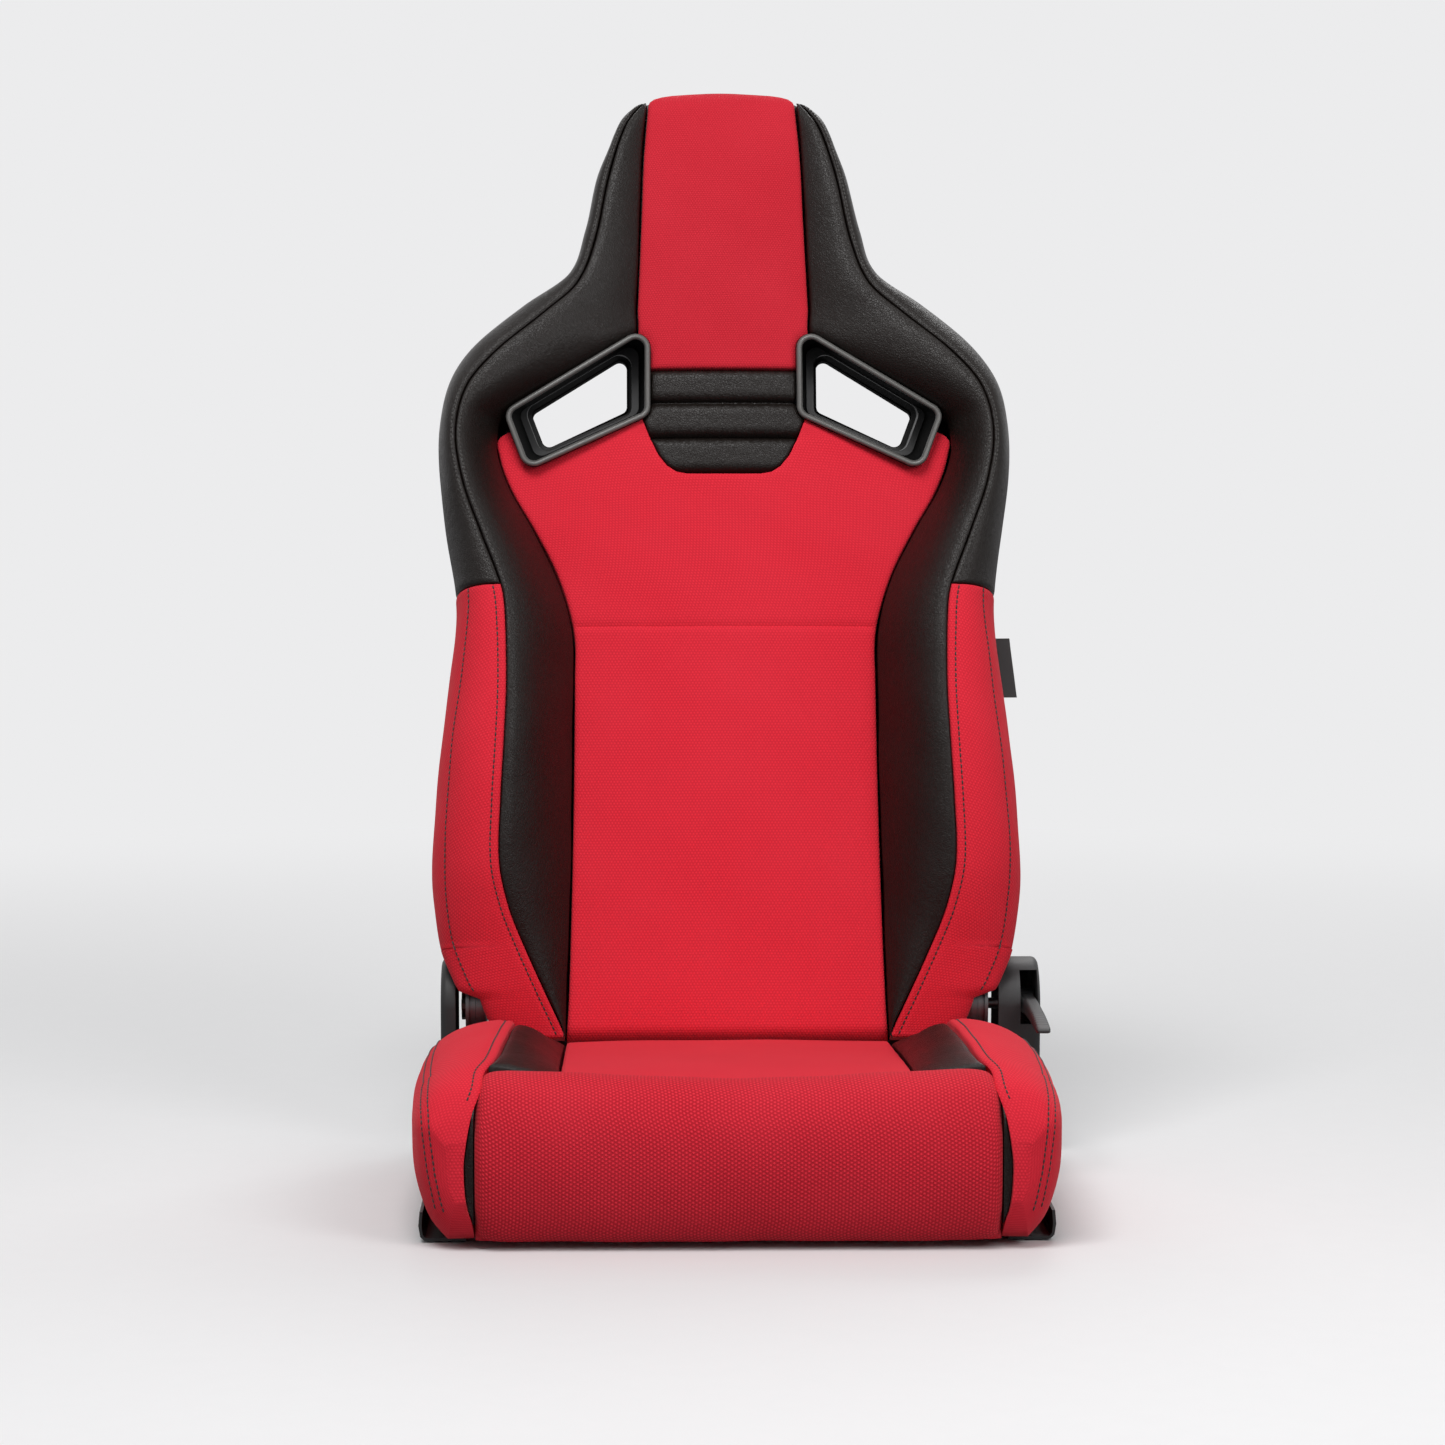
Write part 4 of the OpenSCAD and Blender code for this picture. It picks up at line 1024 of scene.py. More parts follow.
def centre_section(y):
    half = CENTRE_HALF - SEAM
    fade = max(0.0, 1 - (y - ROLL_REAR_Y) / DIP_FADE) ** 2
    return [(x * half, sit(y) + PANEL_CROWN * crown((x + 1) / 2) - dip(x * half) * fade)
            for x in np.linspace(-1, 1, 61)]


def bolster_shape(y):
    """The bolster at a station: its crest (x, z), its widest x, its foot, and the height of that x."""
    a, top = curve(CUSHION_CREST, y) + SEAM, BOLSTER_Z - curve(CREST_FALL, y)
    b, low = RAIL_X + SIDE_FOAM * (1 - curve(SIDE_FALL, y)), FOAM_Z + curve(LOWER_RISE, y)
    wide = FOAM_Z + 88 + curve(LOWER_RISE, y) * 0.3
    return a, top, b, low, wide


LIP_DEPTH, LIP_REACH, LIP_FRONT_Y, LIP_GROWTH = 5.0, 11, -215, 60


def lip(y, along):
    """How far the red cover has rolled over the crest, down to the seam on its inner face."""
    grown = min(1.0, max(0.0, (y - LIP_FRONT_Y) / LIP_GROWTH))
    return LIP_DEPTH * max(0.0, 1 - along / LIP_REACH) ** 2 * grown


def bolster_section(y):
    a, top, b, low, wide = bolster_shape(y)
    arc = []
    for t in np.linspace(3, 88, 43):
        angle = math.radians(t)
        x = mix(a, b, math.sin(angle) ** 0.9)
        arc.append((x, mix(min(wide, top - 6), top, math.cos(angle) ** 0.8) - lip(y, x - a)))
    arc[0] = (a, arc[0][1])
    side = [(b - 2, mix(low, wide, 0.6)), (mix(WALL_X, b, 0.68), mix(low, wide, 0.22)),
            (mix(WALL_X, b, 0.27), low)]
    return arc + smooth_line([arc[-1]] + side, 8)[1:]


# The inner panel slopes down towards the roll, over its first stretch
INNER_SLOPE, INNER_REACH = 6, 60


def inner_section(y):
    a, b = CENTRE_HALF + SEAM, curve(CUSHION_CREST, y) - SEAM
    high = BOLSTER_Z - curve(CREST_FALL, y) - lip(y, 0)
    low = min(sit(y), high + 3)
    front = INNER_SLOPE * max(0.0, 1 - (y - ROLL_REAR_Y) / INNER_REACH) ** 2
    return [(mix(a, b, t), low + (high - low) * (1 - (1 - t) ** 1.7) + PANEL_CROWN * crown(t)
             - front * (1 - t * t)) for t in np.linspace(0, 1, 31)]


# In front of the side frames the bolster's inner wall bows out from the roll's end
BOW = [(12, 217), (26, 218.8), (34, 222.1), (49, 224.4), (72, 225.2), (92, 222.6), (112, 219),
       (125, 216.4), (134, 212.4)]


def bow_out(z):
    heights, places = zip(*BOW)
    return float(np.interp(z, heights, places))


def bolster_inside(y, seam_x):
    """Closes the bolster: round the side frame, and in front of it along the bowed wall."""
    _, top, _, low, _ = bolster_shape(y)
    pocket = max(SIDE_PAD_Z, low + 8)
    if y < ROLL_REAR_Y + 0.4:
        heights = [mix(low, top - 4, k / 8) for k in range(9)]
        return [(max(seam_x if z > 120 else 0, bow_out(z)), z) for z in heights]
    wall = [(WALL_X, low), (WALL_X, pocket)]
    return wall + [(seam_x, mix(pocket, top - 6, k / 6)) for k in range(7)]


# Stations of the gusset from its front, and the place where its rounded front ends
GUSSET_Y, GUSSET_ROUND_Y = (-255, -254.6, -253.4, -251, -246, -236, -222), -251


def gusset(name, side):
    """The leatherette strip between the roll's end and the bolster, tighter towards the front."""
    rings, unrolled = [], []
    for y in GUSSET_Y + (ROLL_REAR_Y - 1,):
        _, top, _, low, _ = bolster_shape(y)
        tight = 0.8 * max(0.0, (GUSSET_ROUND_Y - y) / (GUSSET_ROUND_Y - GUSSET_Y[0]))
        low, high = max(low + 2, 22), min(top - 3, 122)
        ring = [((ROLL_HALF + 0.4 + tight) * side, y, mix(low, high, k / 6)) for k in range(7)]
        ring += [(max(ROLL_HALF + 0.6 + tight, bow_out(z) - 0.3 - tight) * side, y, z)
                 for z in np.linspace(high, low, 24)]
        rings.append([(x * MM, y * MM, z * MM) for x, y, z in ring])
        unrolled.append([(k * 0.004, y * MM) for k in range(len(ring))])
    return grid_piece(name, rings, unrolled)


centre = Cover(centre_section, on_seat, ROLL_REAR_Y + 0.6, CUSHION_REAR_Y, lambda y: PAD_Z,
               ripple=0.3, seed=7)
dress(centre.mesh("cushion_centre_cover", step=3.6, columns=84), cloth, BASE, "red_fabric",
      "cushion_centre", fill=0.75)
cushion_sides = {}
for side, word in SIDES:
    bolster = Cover(bolster_section, on_seat, BOLSTER_FRONT_Y, BOLSTER_REAR_Y, None, side,
                    rolled=(True, False), seed=41 + side, ripple=0.5, closing=bolster_inside,
                    grooves=(("first", CREST_ROW, CREST_FURROW),))
    inner = Cover(inner_section, on_seat, ROLL_REAR_Y + 1.2, BOLSTER_REAR_Y, lambda y: SIDE_PAD_Z,
                  side, seed=51 + side, ripple=0.4)
    cushion_sides[side] = (bolster, inner)
    dress(bolster.mesh("cushion_bolster_cover_" + word, step=3.6, columns=44), cloth, BASE,
          "red_fabric", "cushion_bolster_" + word, fill=0.85)
    dress(inner.mesh("cushion_inner_cover_" + word, step=3.6, columns=26), leather, BASE,
          "black_leather", "cushion_inner_panel_" + word, fill=0.85)
    dress(gusset("cushion_front_gusset_" + word, side), leather, BASE, "black_leather", fill=0.85)

# %% Build the front roll
ROLL_ENDS = [(0.0, 0.0), (0.8, 0.3), (0.93, 1.4), (0.975, 6.5), (1.0, 19.0)]


def roll_pull(x):
    return curve(ROLL_ENDS, abs(x) / ROLL_HALF)


def roll_section(x):
    """The roll's outline from its rear foot over the top to its front foot, as (y, z) pairs."""
    pull = roll_pull(x)
    low, front, rear = FOAM_Z + pull * 0.5, ROLL_FRONT_Y, ROLL_REAR_Y
    top = SIT_Z + 3 - pull - dip(x)
    return smooth_line([
        (rear, 62), (rear, top - 12), (rear - 5, top + 1), (rear - 20, top + 2), (rear - 36, top - 4),
        (front + 14 + pull * 0.3, top - 15.5),
        (front + 4 + pull * 0.4, SIT_Z - 36 - pull * 0.5 - dip(x) * 0.4),
        (front + pull * 0.5, FOAM_Z + 64), (front + 3 + pull * 0.5, FOAM_Z + 32),
        (front + 10 + pull * 0.4, FOAM_Z + 10 + pull * 0.5), (front + 19 + pull * 0.2, low)], 12)


def on_roll(y, z, x):
    return (x * MM, y * MM, z * MM)


# The roll's sections run front to back, and its stations run across the seat
front_roll = Cover(lambda x: roll_section(x)[::-1], on_roll, -ROLL_HALF, ROLL_HALF,
                   lambda x: FOAM_Z + 1, rolled=(False, False), ripple=0.5, seed=9)
dress(front_roll.mesh("front_roll_cover", step=3.6, columns=60), coarse_cloth, BASE, "red_fabric",
      "front_roll", fill=0.85)

# %% [markdown]
# ## Rows of stitches
# A top-stitch is one short thread after another, each dipping into the cover at both ends. One
# Geometry Nodes tree makes them all: it spaces points along each line, sets a small spindle on every
# point, and turns it along the line. The thread's size, the pitch and the seed are named inputs.

# %% The stitching tree
# Shortest and longest stitch, as shares of the usual one
STITCH_SPREAD = (0.88, 1.06)


def stitching_tree():
    tree = bpy.data.node_groups.new("row_of_stitches", "GeometryNodeTree")
    sockets = {}
    for label, kind, value in (("Line", "NodeSocketGeometry", None),
                               ("Pitch", "NodeSocketFloat", 0.005),
                               ("Stitch Length", "NodeSocketFloat", 0.0042),
                               ("Thread Radius", "NodeSocketFloat", 0.0005),
                               ("Seed", "NodeSocketInt", 1),
                               ("Thread", "NodeSocketMaterial", None)):
        socket = tree.interface.new_socket(name=label, in_out="INPUT", socket_type=kind)
        if value is not None:
            socket.default_value = value
        sockets[label] = socket.identifier
    tree.interface.new_socket(name="Stitches", in_out="OUTPUT", socket_type="NodeSocketGeometry")
    add, join = tree.nodes.new, tree.links.new
    given, result = add("NodeGroupInput"), add("NodeGroupOutput")
    curve_node, spaced = add("GeometryNodeMeshToCurve"), add("GeometryNodeResampleCurve")
    spaced.mode = "LENGTH"
    spindle = add("GeometryNodeMeshUVSphere")
    spindle.inputs["Segments"].default_value = 6
    spindle.inputs["Rings"].default_value = 5
    spindle.inputs["Radius"].default_value = 1.0
    tangent, turn = add("GeometryNodeInputTangent"), add("FunctionNodeAlignRotationToVector")
    turn.axis = "Z"
    vary = add("FunctionNodeRandomValue")
    vary.data_type = "FLOAT"
    vary.inputs[2].default_value, vary.inputs[3].default_value = STITCH_SPREAD
    half = add("ShaderNodeMath")
    half.operation = "MULTIPLY"
    half.inputs[1].default_value = 0.5
    long = add("ShaderNodeMath")
    long.operation = "MULTIPLY"
    size = add("ShaderNodeCombineXYZ")
    place, real = add("GeometryNodeInstanceOnPoints"), add("GeometryNodeRealizeInstances")
    smooth, paint = add("GeometryNodeSetShadeSmooth"), add("GeometryNodeSetMaterial")
    join(given.outputs["Line"], curve_node.inputs[0])
    join(curve_node.outputs[0], spaced.inputs["Curve"])
    join(given.outputs["Pitch"], spaced.inputs["Length"])
    join(tangent.outputs[0], turn.inputs["Vector"])
    join(given.outputs["Seed"], vary.inputs["Seed"])
    join(given.outputs["Stitch Length"], half.inputs[0])
    join(half.outputs[0], long.inputs[0])
    join(vary.outputs[1], long.inputs[1])
    join(given.outputs["Thread Radius"], size.inputs["X"])
    join(given.outputs["Thread Radius"], size.inputs["Y"])
    join(long.outputs[0], size.inputs["Z"])
    join(spaced.outputs[0], place.inputs["Points"])
    join(spindle.outputs["Mesh"], place.inputs["Instance"])
    join(turn.outputs[0], place.inputs["Rotation"])
    join(size.outputs[0], place.inputs["Scale"])
    join(place.outputs[0], smooth.inputs["Geometry"])
    join(smooth.outputs[0], real.inputs[0])
    join(real.outputs[0], paint.inputs["Geometry"])
    join(given.outputs["Thread"], paint.inputs["Material"])
    join(paint.outputs[0], result.inputs[0])
    return tree, sockets


stitching, stitch_inputs = stitching_tree()


def stitches(name, lines, thread, body, seed, pitch=0.005, length=0.0045, radius=0.0008):
    """Sews every line of points and leaves one plain mesh."""
    mesh = bpy.data.meshes.new(name)
    points, edges = [], []
    for line in lines:
        first = len(points)
        points += [tuple(p) for p in line]
        edges += [(k, k + 1) for k in range(first, len(points) - 1)]
    mesh.from_pydata(points, edges, [])
    piece = bpy.data.objects.new(name, mesh)
    bpy.context.scene.collection.objects.link(piece)
    modifier = piece.modifiers.new("stitches", "NODES")
    modifier.node_group = stitching
    for label, value in (("Pitch", pitch), ("Stitch Length", length), ("Thread Radius", radius),
                         ("Seed", seed), ("Thread", thread)):
        modifier[stitch_inputs[label]] = value
    graph = bpy.context.evaluated_depsgraph_get()
    sewn = bpy.data.meshes.new_from_object(piece.evaluated_get(graph), depsgraph=graph)
    piece.modifiers.clear()
    piece.data = sewn
    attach(piece, body)
    print(name, len(sewn.polygons), "faces")
    return piece


# %% [markdown]
# Each red bolster is top-stitched twice: once beside its crest seam and once along its outer edge.
# The shoulders have a twin row astride the crest seam.

# %% Sew the backrest
OUTER_ROW, TWIN_ROW = 13.0, 4.0


def edge_line(cover, inset, low, high, step=4.0, lift=0.25):
    """A line that keeps a distance inside the cover's widest point, as seen from the front."""
    found = []
    count = round((high - low) / step)
    for k in range(count + 1):
        station = mix(low, high, k / count)
        points, length = cover.run(station)
        widest = int(np.argmax(points[:, 0]))
        target = points[widest, 0] - inset
        along = float(np.interp(target, points[:widest + 1, 0], length[:widest + 1]))
        found.append(cover.world(*cover.front(points, length, station, along, lift), station))
    return found


for side, word in SIDES:
    bolster, shoulder = outers[side]
    stitches("bolster_stitches_" + word,
             [bolster.line("first", CREST_ROW, BOLSTER_FOOT + 4, COLOUR_LINE - 4),
              edge_line(bolster, OUTER_ROW, 5.0, COLOUR_LINE - 4)],
             dark_red_thread, BACK, 3 + side)
    stitches("shoulder_stitches_" + word,
             [shoulder.line("first", TWIN_ROW, COLOUR_LINE + 3, HEAD_LINE - 6),
              wings[side].line("last", TWIN_ROW, COLOUR_LINE - 2, 600)],
             black_thread, BACK, 13 + side,
             pitch=0.0042, length=0.0037, radius=0.0006)

# %% Sew the cushion


def surface_of(piece):
    """A ray caster for a finished piece, whose mesh is already in place."""
    graph = bpy.context.evaluated_depsgraph_get()
    return BVHTree.FromObject(piece, graph)


# Places (z, x) of the outer row on the bolster's nose, beside its widest edge
NOSE_ROW = [(18, 236), (31, 240), (44, 244), (65, 248.5), (97, 252.5), (128, 255), (150, 256)]
# The nose is turned about a line across the seat, and rays come in to that line from around it
NOSE_X, NOSE_Y, NOSE_Z = 248, -190, 70


def nose_line(piece, outside, side):
    """Along the bolster's outer edge, over its nose and down its front, found with rays."""
    tree = surface_of(piece)
    found = []

    def sew(x, y, z, out):
        hit = tree.ray_cast(Vector((side * (x + outside) * MM, y * MM, z * MM)) + out * 0.4, -out)[0]
        return hit + out * 0.0002 if hit else None

    for y in np.linspace(150, NOSE_Y + 4, 80):
        _, _, widest, _, _ = bolster_shape(y)
        found.append(sew(widest - 16, y, NOSE_Z, Vector((0, 0, 1))))
    for turn in np.linspace(1, 118, 60):
        out = Vector((0, -math.sin(math.radians(turn)), math.cos(math.radians(turn))))
        near = sew(NOSE_X, NOSE_Y, NOSE_Z, out)
        if near:
            heights, places = zip(*NOSE_ROW)
            x = float(np.interp(near.z / MM, heights, places))
            found.append(sew(x, NOSE_Y, NOSE_Z, out))
    return [p for p in found if p and p.z > 0.024]


for side, word in SIDES:
    bolster = cushion_sides[side][0]
    piece = bpy.data.objects["cushion_bolster_cover_" + word]
    stitches("cushion_stitches_" + word,
             [bolster.line("first", CREST_ROW, -246, BOLSTER_REAR_Y - 4), nose_line(piece, 0, side),
              nose_line(piece, 6, side)],
             dark_red_thread, BASE, 23 + side)

# %% [markdown]
# ## The bezels of the harness slots
# Each bezel is one moulding: a round bead that stands proud of the covers, and a duct that narrows
# on its way to the rear cover. It is a profile swept round the slot's outline, so the same few pairs
# describe the whole part.

# %% Build the bezels
DUCT_LENGTH, DUCT_TAPER, RING_N = 100.0, 0.7, -62.6
# Pairs of (growth of the outline, height above the slot's plane)
BEAD = [(-0.5, -2.0), (-0.3, 4.2), (-0.55, 5.6), (-1.3, 6.7), (-2.5, 7.3), (-3.9, 7.2), (-5.0, 6.4),
        (-5.7, 5.2), (-5.9, 3.6), (-5.7, 1.5), (-4.6, -1.0), (-3.6, -2.4)]
DUCT_WALL = 2.4
# Depths of the duct's rings, along its outside and back along its inside
DUCT_OUTSIDE = (-6, -15, -30, -50, -70, -90, -97)
DUCT_INSIDE = (-97, -70, -40, -15, -4)


def duct_ring(grow, depth, side):
    share = 1 - (1 - DUCT_TAPER) * max(0.0, -depth) / DUCT_LENGTH
    ring = []
    for x, s in slot_path(grow):
        x, s = SLOT_X + (x - SLOT_X) * share, SLOT_S + (s - SLOT_S) * share
        deepest = RING_N - SLOT_N - SLOT_TILT * (x - SLOT_X)
        x, n, s = in_slot(x, max(depth, deepest), s)
        ring.append(on_back(x * side, n, s))
    return ring


def bezel(name, side):
    profile = BEAD + [(-1 - DUCT_WALL, d) for d in DUCT_OUTSIDE] + [(-1.2, d) for d in DUCT_INSIDE]
    rings = [duct_ring(grow, depth, side) for grow, depth in profile]
    mesh = bpy.data.meshes.new(name)
    mesh.from_pydata([p for ring in rings for p in ring], [],
                     ring_faces(len(rings), len(rings[0]), closed=True))
    return finished(name, mesh)


for side, word in SIDES:
    piece = dress(bezel("harness_bezel_" + word, side), bezel_plastic, BACK, "grey_plastic",
                  "harness_duct_" + word)
    # The duct's faces take the near-black plastic, painted shade inside the slot
    piece.data.materials.append(shaded_duct_plastic)
    around = len(slot_path())
    for face in piece.data.polygons:
        if face.index >= len(BEAD) * around:
            face.material_index = 1

# %% [markdown]
# ## The shell behind the backrest
# A thin moulded shell closes the backrest from behind. It follows the seat's outline, is deepest
# along the middle and rolls forward at its edges. Both harness ducts end in it.

# %% Build the rear shell
SHELL_DEPTH, SHELL_FRONT, SHELL_FOOT, SHELL_TOP = 72.0, -12.4, -42.0, 876.0
# Below the step the shell is narrower, to pass between the recliners
SHELL_STEP, SHELL_FOOT_HALF, SHELL_CORNER = 47.0, 216.0, 4.0
# Share of the half width, and share of the depth there
SHELL_SECTION = [(1.0, 0.0), (1.0, 0.22), (1.0, 0.45), (0.985, 0.68), (0.93, 0.87), (0.82, 0.97),
                 (0.6, 1.0), (0.3, 1.022), (0.0, 1.03)]


def shell_ring(s, inset):
    half = (SHELL_FOOT_HALF if s < SHELL_STEP else curve(OUTER_EDGE, s) - 3) - inset
    deep = -(SHELL_DEPTH - curve(COVER_FALL, s) - inset)
    half_line = smooth_line(SHELL_SECTION, 4)
    line = half_line + [(-w, d) for w, d in reversed(half_line[:-1])]
    return [on_back(w * half, SHELL_FRONT + (deep - SHELL_FRONT) * d, s) for w, d in line]


def rear_shell():
    turns = [math.radians(a) for a in (0, 20, 40, 60, 80)]
    ends = [(SHELL_CORNER * (1 - math.cos(a)), SHELL_CORNER * (1 - math.sin(a))) for a in turns]
    rows = [(SHELL_FOOT + e, i) for e, i in ends]
    rows += [(s, 0.0) for s in np.linspace(SHELL_FOOT + 8, SHELL_STEP - 1.2, 12)]
    rows += [(s, 0.0) for s in np.linspace(SHELL_STEP + 1.2, SHELL_TOP - 8, 110)]
    rows += [(SHELL_TOP - e, i) for e, i in reversed(ends)]
    rings = [shell_ring(s, inset) for s, inset in rows]
    across = [[(k * 0.012, s * MM) for k in range(len(ring))] for (s, _), ring in zip(rows, rings)]
    return grid_piece("rear_shell", rings, across)


def narrowed_path(share, grow):
    """The slot's outline where the duct has narrowed to a share of it."""
    return [(SLOT_X + (x - SLOT_X) * share, SLOT_S + (s - SLOT_S) * share) for x, s in slot_path(grow)]


shell_cutters = [slot_block("duct_cutter", side, narrowed_path(0.713, 1.5), (-140.0, -20.0))
                 for side, _ in SIDES]
dress(cut(rear_shell(), *shell_cutters), black_plastic, BACK, "black_plastic", "rear_cover")

# %% [markdown]
# ## The recliner covers and the release lever
# Each round recliner has a moulded side cover. The left one is deep, since the lever swings inside
# it. The lever is a slim arched paddle on the end of the release shaft, ribbed where fingers pull.

# %% Build the side covers
COVER_X, COVER_DEPTH, FAR_COVER_DEPTH, COVER_WALL, COVER_ROUND = 248.0, 39.0, 14.0, 2.5, 6.0
COVER_HEAD, LEG_REAR, LEG_FRONT, LEG_FOOT, LEG_ROUND = 43.0, 37, 45, 26, 8
LEVER_X, LEVER_W, LEVER_L, LEVER_T = 270.5, 13.0, 186.0, 5.0
# The opening that the lever swings in, as (y, z) corners from the pivot
LEVER_OPENING = [(-60, -14), (-5, -14), (-5, 34), (-60, 34)]


def cover_outline(grow):
    """The cover's side outline, grown outwards: a round head on a leg that narrows upwards."""
    found = []

    def arc(y, z, radius, start, end, count):
        for a in np.linspace(math.radians(start), math.radians(end), count):
            found.append((y + (radius + grow) * math.cos(a), z + (radius + grow) * math.sin(a)))

    arc(PIVOT_Y, PIVOT_Z, COVER_HEAD, 2, 178, 33)
    arc(PIVOT_Y - LEG_REAR + LEG_ROUND, LEG_FOOT + LEG_ROUND, LEG_ROUND, 183, 268, 8)
    arc(PIVOT_Y + LEG_FRONT - LEG_ROUND, LEG_FOOT + LEG_ROUND, LEG_ROUND, 272, 358, 8)
    return found


def side_cover(name, side, depth, opening):
    """A hollow cover: rings of the outline from the inner face, round the rim, to the outer face."""
    steps = [(-26.0, depth - COVER_WALL), (-COVER_ROUND, depth - COVER_WALL),
             (-COVER_WALL, depth - COVER_ROUND), (-COVER_WALL, 0.0), (-0.6, 0.0), (0.0, 0.6)]
    for a in (0, 18, 36, 54, 72, 90):
        turn = math.radians(a)
        steps.append((COVER_ROUND * (math.cos(turn) - 1), depth - COVER_ROUND * (1 - math.sin(turn))))
    steps += [(-14.0, depth + 0.2), (-26.0, depth + 0.5)]
    rings = [[(side * (COVER_X + x) * MM, y * MM, z * MM) for y, z in cover_outline(grow)]
             for grow, x in steps]
    piece = tube_of(name, rings)
    if opening:
        corners = [(PIVOT_Y + y, PIVOT_Z + z) for y, z in LEVER_OPENING]
        cut(piece, block("lever_slot", [[(side * x * MM, y * MM, z * MM) for y, z in corners]
                                        for x in (LEVER_X - 2, LEVER_X + LEVER_W + 1)]))
    return dress(piece, black_plastic, BASE, "black_plastic", name.replace("_moulding", ""))


side_cover("recliner_cover_left_moulding", 1, COVER_DEPTH, True)
side_cover("recliner_cover_right_moulding", -1, FAR_COVER_DEPTH, False)

# %% Build the lever
# The ribs lie between two shares of the paddle's length
RIBS, RIB_START, RIB_END, RIB_HIGH = 7, 0.62, 0.94, 0.45
LEVER_ROOT, ROOT_TOP, ROOT_FOOT = 8, 11, 9
PADDLE_SIDES, HUB_SIDES = 28, 40


def lever_edges(t):
    """The paddle at a share of its length: place along it, and its top and lower edge."""
    slim = t ** 0.6
    return (-LEVER_ROOT - (LEVER_L - LEVER_ROOT) * t,
            ROOT_TOP - (ROOT_TOP - LEVER_T / 2) * slim + 4 * crown(t),
            -ROOT_FOOT + (ROOT_FOOT - LEVER_T / 2) * slim + 2 * crown(t))


def lever_paddle():
    """Rings along the paddle, each a rounded box that thins towards the tip."""
    rings = []
    places = [*np.linspace(0, 0.6, 12), *np.linspace(0.61, 0.95, 15 + 8 * RIBS)]
    places += [0.97, 0.985, 0.995, 1.0]
    for t in places:
        y, top, foot = lever_edges(t)
        rib = 0.0
        if RIB_START < t < RIB_END:
            turns = (t - RIB_START) / (RIB_END - RIB_START) * RIBS
            rib = RIB_HIGH * max(0.0, math.sin(turns * math.pi * 2))
        end = 1 - max(0.0, (t - 0.95) / 0.05) ** 3
        half_h = max(0.4, (top - foot) / 2 * (0.25 + 0.75 * end) + rib)
        middle = (top + foot) / 2
        half_w = LEVER_W / 2 * (0.7 + 0.3 * end)
        ring = []
        for k in range(PADDLE_SIDES):
            a = 2 * math.pi * (k + 0.5) / PADDLE_SIDES
            c, s = math.cos(a), math.sin(a)
            x = LEVER_X + LEVER_W / 2 + half_w * math.copysign(abs(c) ** 0.45, c)
            z = PIVOT_Z + middle + half_h * math.copysign(abs(s) ** 0.45, s)
            ring.append((x * MM, (PIVOT_Y + y) * MM, z * MM))
        rings.append(ring)
    return rings


def lever_hub():
    """A round boss with softened edges, turned about the shaft."""
    profile = [(5.0, 0.0), (13.4, 0.0), (14.6, 0.5), (15.0, 1.6), (15.0, LEVER_W - 1.6),
               (14.6, LEVER_W - 0.5), (13.4, LEVER_W), (8.0, LEVER_W), (7.0, LEVER_W - 0.8),
               (5.0, LEVER_W - 0.8)]
    turns = np.linspace(0, 2 * math.pi, HUB_SIDES, endpoint=False)
    return [[((LEVER_X + x) * MM, (PIVOT_Y + r * math.cos(a)) * MM, (PIVOT_Z + r * math.sin(a)) * MM)
             for a in turns] for r, x in profile]


lever = tube_of("release_lever_moulding", lever_paddle(), turned=lever_hub())
dress(lever, black_plastic, RELEASE, "black_plastic", "release_lever")

# %% [markdown]
# ## The side tag
# A bare ribbon, folded double, is caught in the left bolster's outer seam and stands out from it.

# %% Build the tag
TAG_LOW, TAG_HIGH, TAG_N, TAG_WIDE, TAG_THICK = 282.0, 338.0, 30.0, 14.0, 0.8


def tag_ring(s):
    """The folded ribbon's outline at a height: two layers, a round fold and a slight wave."""
    edge = curve(OUTER_EDGE, s) - 0.1
    wave = 1.2 * math.sin((s - TAG_LOW) / 22)
    layer = [(u, TAG_THICK * (1 - 0.25 * (u / TAG_WIDE))) for u in np.linspace(0, TAG_WIDE, 12)]
    fold = [(TAG_WIDE + 0.9 * math.sin(a), 0.6 * math.cos(a))
            for a in np.linspace(0.3, math.pi - 0.3, 7)]
    ring = layer + fold + [(u, -v) for u, v in reversed(layer)]
    return [on_back(edge + u, TAG_N + v + wave * (u / TAG_WIDE) ** 2, s) for u, v in ring]


tag = tube_of("side_tag_ribbon", [tag_ring(s) for s in np.linspace(TAG_LOW, TAG_HIGH, 24)])
dress(tag, tag_cloth, BACK, "tag_cloth", "side_tag")

# %% [markdown]
# ## Steel and plastic that keep their CAD shape
# Frames, tubes, brackets and springs need no new shape. They only get their finishes.

# %% Finish the kept parts
KEPT = [
    (painted_steel, ("side_frame_left", "side_frame_right", "front_cross_tube", "rear_cross_tube",
                     "base_weld_nuts", "back_frame_tube", "back_cross_tube")),
    (zinc_steel, ("recliner_bracket_left", "recliner_bracket_right", "recliner_fixed_discs",
                  "recliner_bolts", "recliner_arm_left", "recliner_arm_right",
                  "recliner_moving_discs", "release_shaft")),
    (spring_steel, ("seat_springs_zigzag", "back_wires", "lever_return_spring")),
    (black_plastic, ("side_skirt_left", "side_skirt_right")),
    # The ducts' rear rings get the same near-black plastic, painted as shade
    (shaded_duct_plastic, ("duct_rear_ring_left", "duct_rear_ring_right")),
]
for finish, names in KEPT:
    for name in names:
        for place in bpy.data.objects[name].material_slots:
            place.material = finish
print("kept parts:", sum(len(names) for _, names in KEPT))

# %% [markdown]
# ## The studio
# A pale floor carries the seat's shadow. Three large lamps and a soft world light it evenly, so that
# colours come out about as they are written, and the background stays pale for the camera.

# %% Floor, lamps and world
for tool in tools:
    bpy.data.objects.remove(tool)

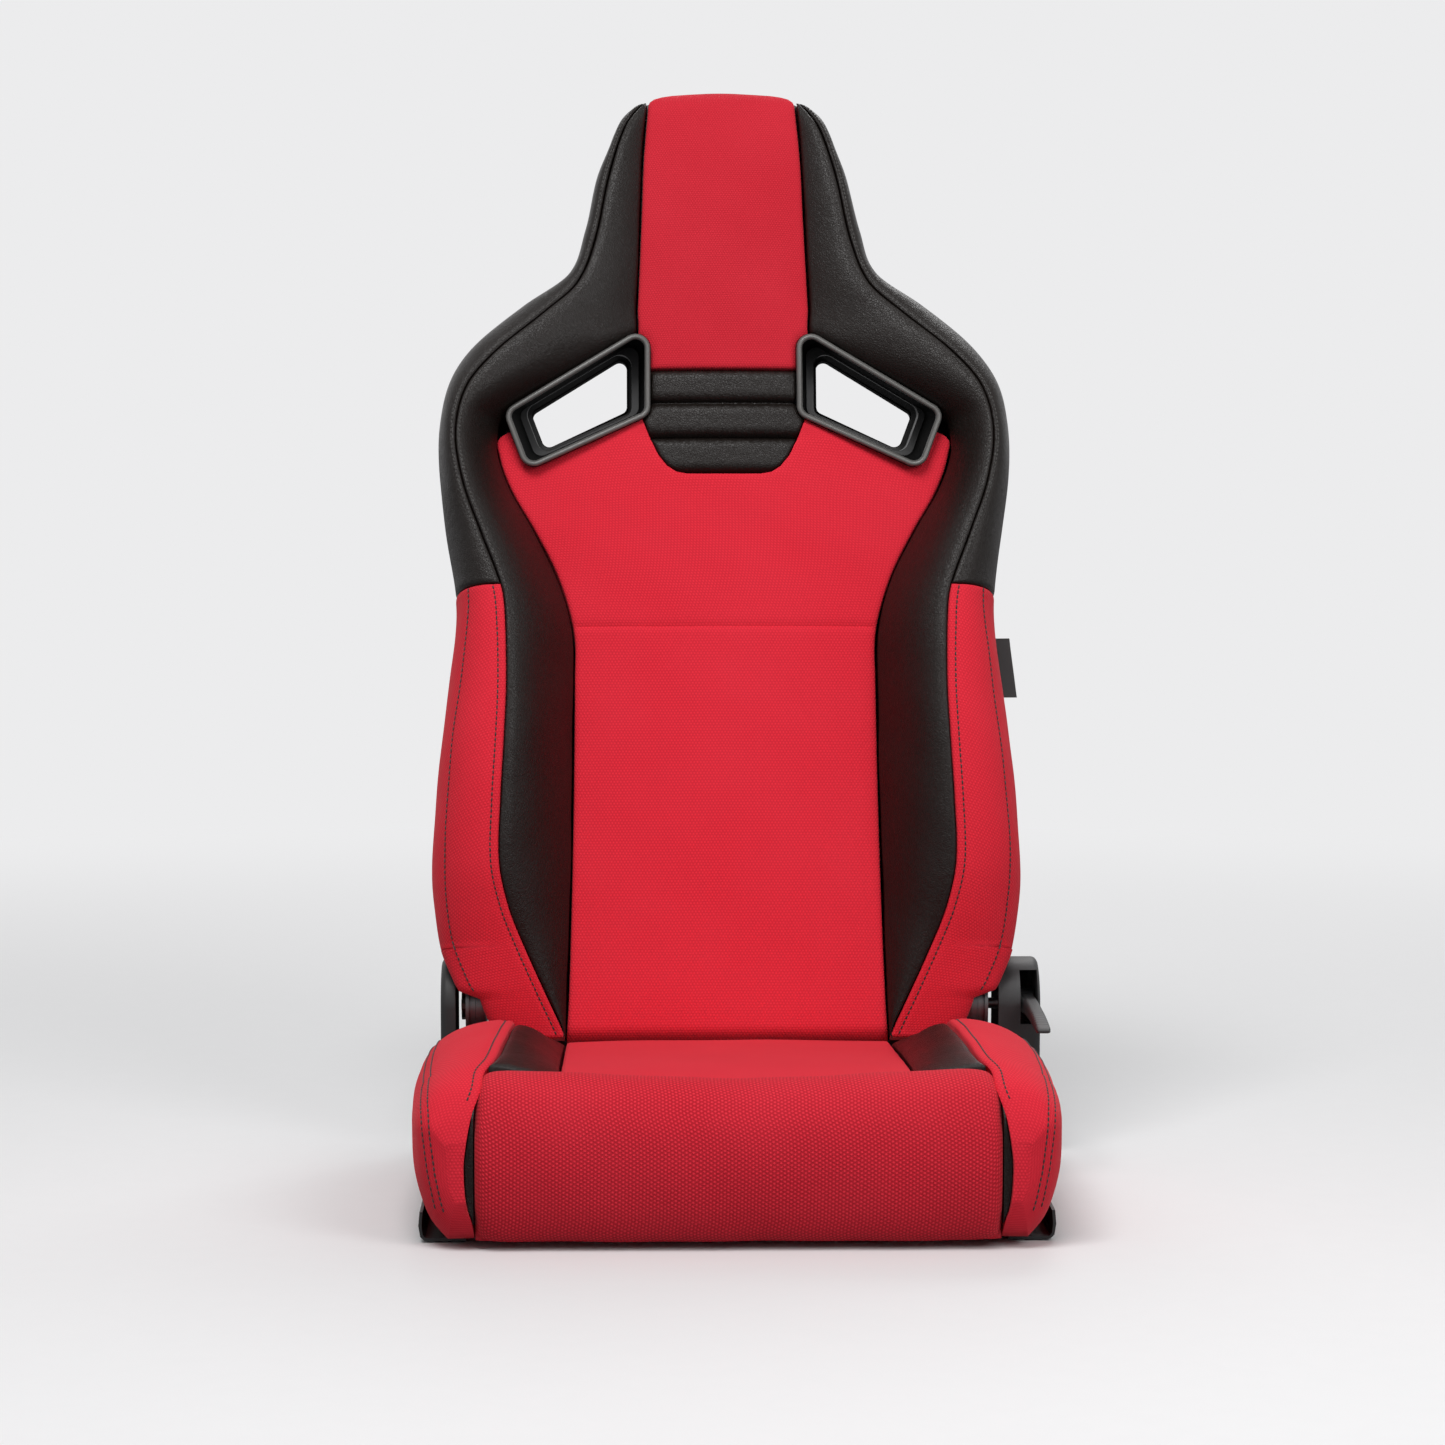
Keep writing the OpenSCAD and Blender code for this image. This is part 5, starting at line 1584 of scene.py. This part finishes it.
PALE, PALE_SPECK, DIM = srgb(236, 236, 237), srgb(228, 228, 230), srgb(150, 150, 152)
FLOOR_HALF, FADE_START, AMBIENT = 30, 0.7, 0.24
floor_mesh = bpy.data.meshes.new("studio_floor")
floor_mesh.from_pydata([(x * FLOOR_HALF, y * FLOOR_HALF, 0)
                        for x, y in ((-1, -1), (1, -1), (1, 1), (-1, 1))], [], [(0, 1, 2, 3)])
floor = bpy.data.objects.new("studio_floor", floor_mesh)
bpy.context.scene.collection.objects.link(floor)
paper = Finish("studio_paper", roughness=0.75)
speckle = paper.noise(paper.place(), 40.0, 3.0)
sheet = paper.mix(speckle * 0.2, PALE, PALE_SPECK)
# What the camera doesn't see directly is a dimmer floor, which throws less light back up
seen = paper.add("LightPath")
paper.wear(Base_Color=paper.mix(seen, DIM, sheet), Roughness=0.7 + speckle * 0.1)
floor_mesh.materials.append(paper.material)

# The paper fades into the background with distance, so that no horizon shows
nodes, links = paper.material.node_tree.nodes, paper.material.node_tree.links
across, along, _ = paper.parts(paper.place())
far = (((across * across + along * along) ** 0.5 - FADE_START) * 0.4).limited()
far = far * far * (3.0 - far * 2.0) * seen
glow = nodes.new("ShaderNodeEmission")
glow.inputs["Color"].default_value = PALE
glow.inputs["Strength"].default_value = 1.0
fade = nodes.new("ShaderNodeMixShader")
surface = nodes["Material Output"].inputs["Surface"]
links.new(far.socket, fade.inputs[0])
links.new(surface.links[0].from_socket, fade.inputs[1])
links.new(glow.outputs[0], fade.inputs[2])
links.new(fade.outputs[0], surface)

world = bpy.data.worlds.new("studio_world")
bpy.context.scene.world = world
world.use_nodes = True
nodes, links = world.node_tree.nodes, world.node_tree.links
nodes.clear()


def background(colour, strength):
    node = nodes.new("ShaderNodeBackground")
    node.inputs["Color"].default_value = colour
    node.inputs["Strength"].default_value = strength
    return node.outputs[0]


def either(first, second):
    """1 where one of two kinds of ray arrives."""
    node = nodes.new("ShaderNodeMath")
    node.operation = "MAXIMUM"
    links.new(first, node.inputs[0])
    links.new(second, node.inputs[1])
    return node.outputs[0]


# The camera and the glossy parts see the pale background, and everything is lit by a dimmer one
rays = nodes.new("ShaderNodeLightPath").outputs
direct = either(rays["Is Camera Ray"], rays["Is Transmission Ray"])
joined = nodes.new("ShaderNodeMixShader")
links.new(either(direct, rays["Is Glossy Ray"]), joined.inputs[0])
links.new(background((1, 1, 1, 1), AMBIENT), joined.inputs[1])
links.new(background(PALE, 1.0), joined.inputs[2])
links.new(joined.outputs[0], nodes.new("ShaderNodeOutputWorld").inputs[0])


def lamp(name, place, target, width, height, watts):
    data = bpy.data.lights.new(name, "AREA")
    data.shape = "RECTANGLE"
    data.size, data.size_y = width, height
    data.energy = watts
    light = bpy.data.objects.new(name, data)
    light.location = place
    light.rotation_euler = (Vector(target) - Vector(place)).to_track_quat("-Z", "Y").to_euler()
    bpy.context.scene.collection.objects.link(light)
    return light


lamp("key_lamp", (-0.5, -1.35, 3.1), (0, 0, 0.4), 1.6, 1.2, 62)
lamp("fill_lamp", (1.8, -2.4, 2.0), (0, 0, 0.3), 1.4, 1.6, 30)
lamp("back_lamp", (0.4, 2.6, 2.6), (0, 0.3, 0.6), 1.8, 1.0, 34)
print("lamps:", len(bpy.data.lights))
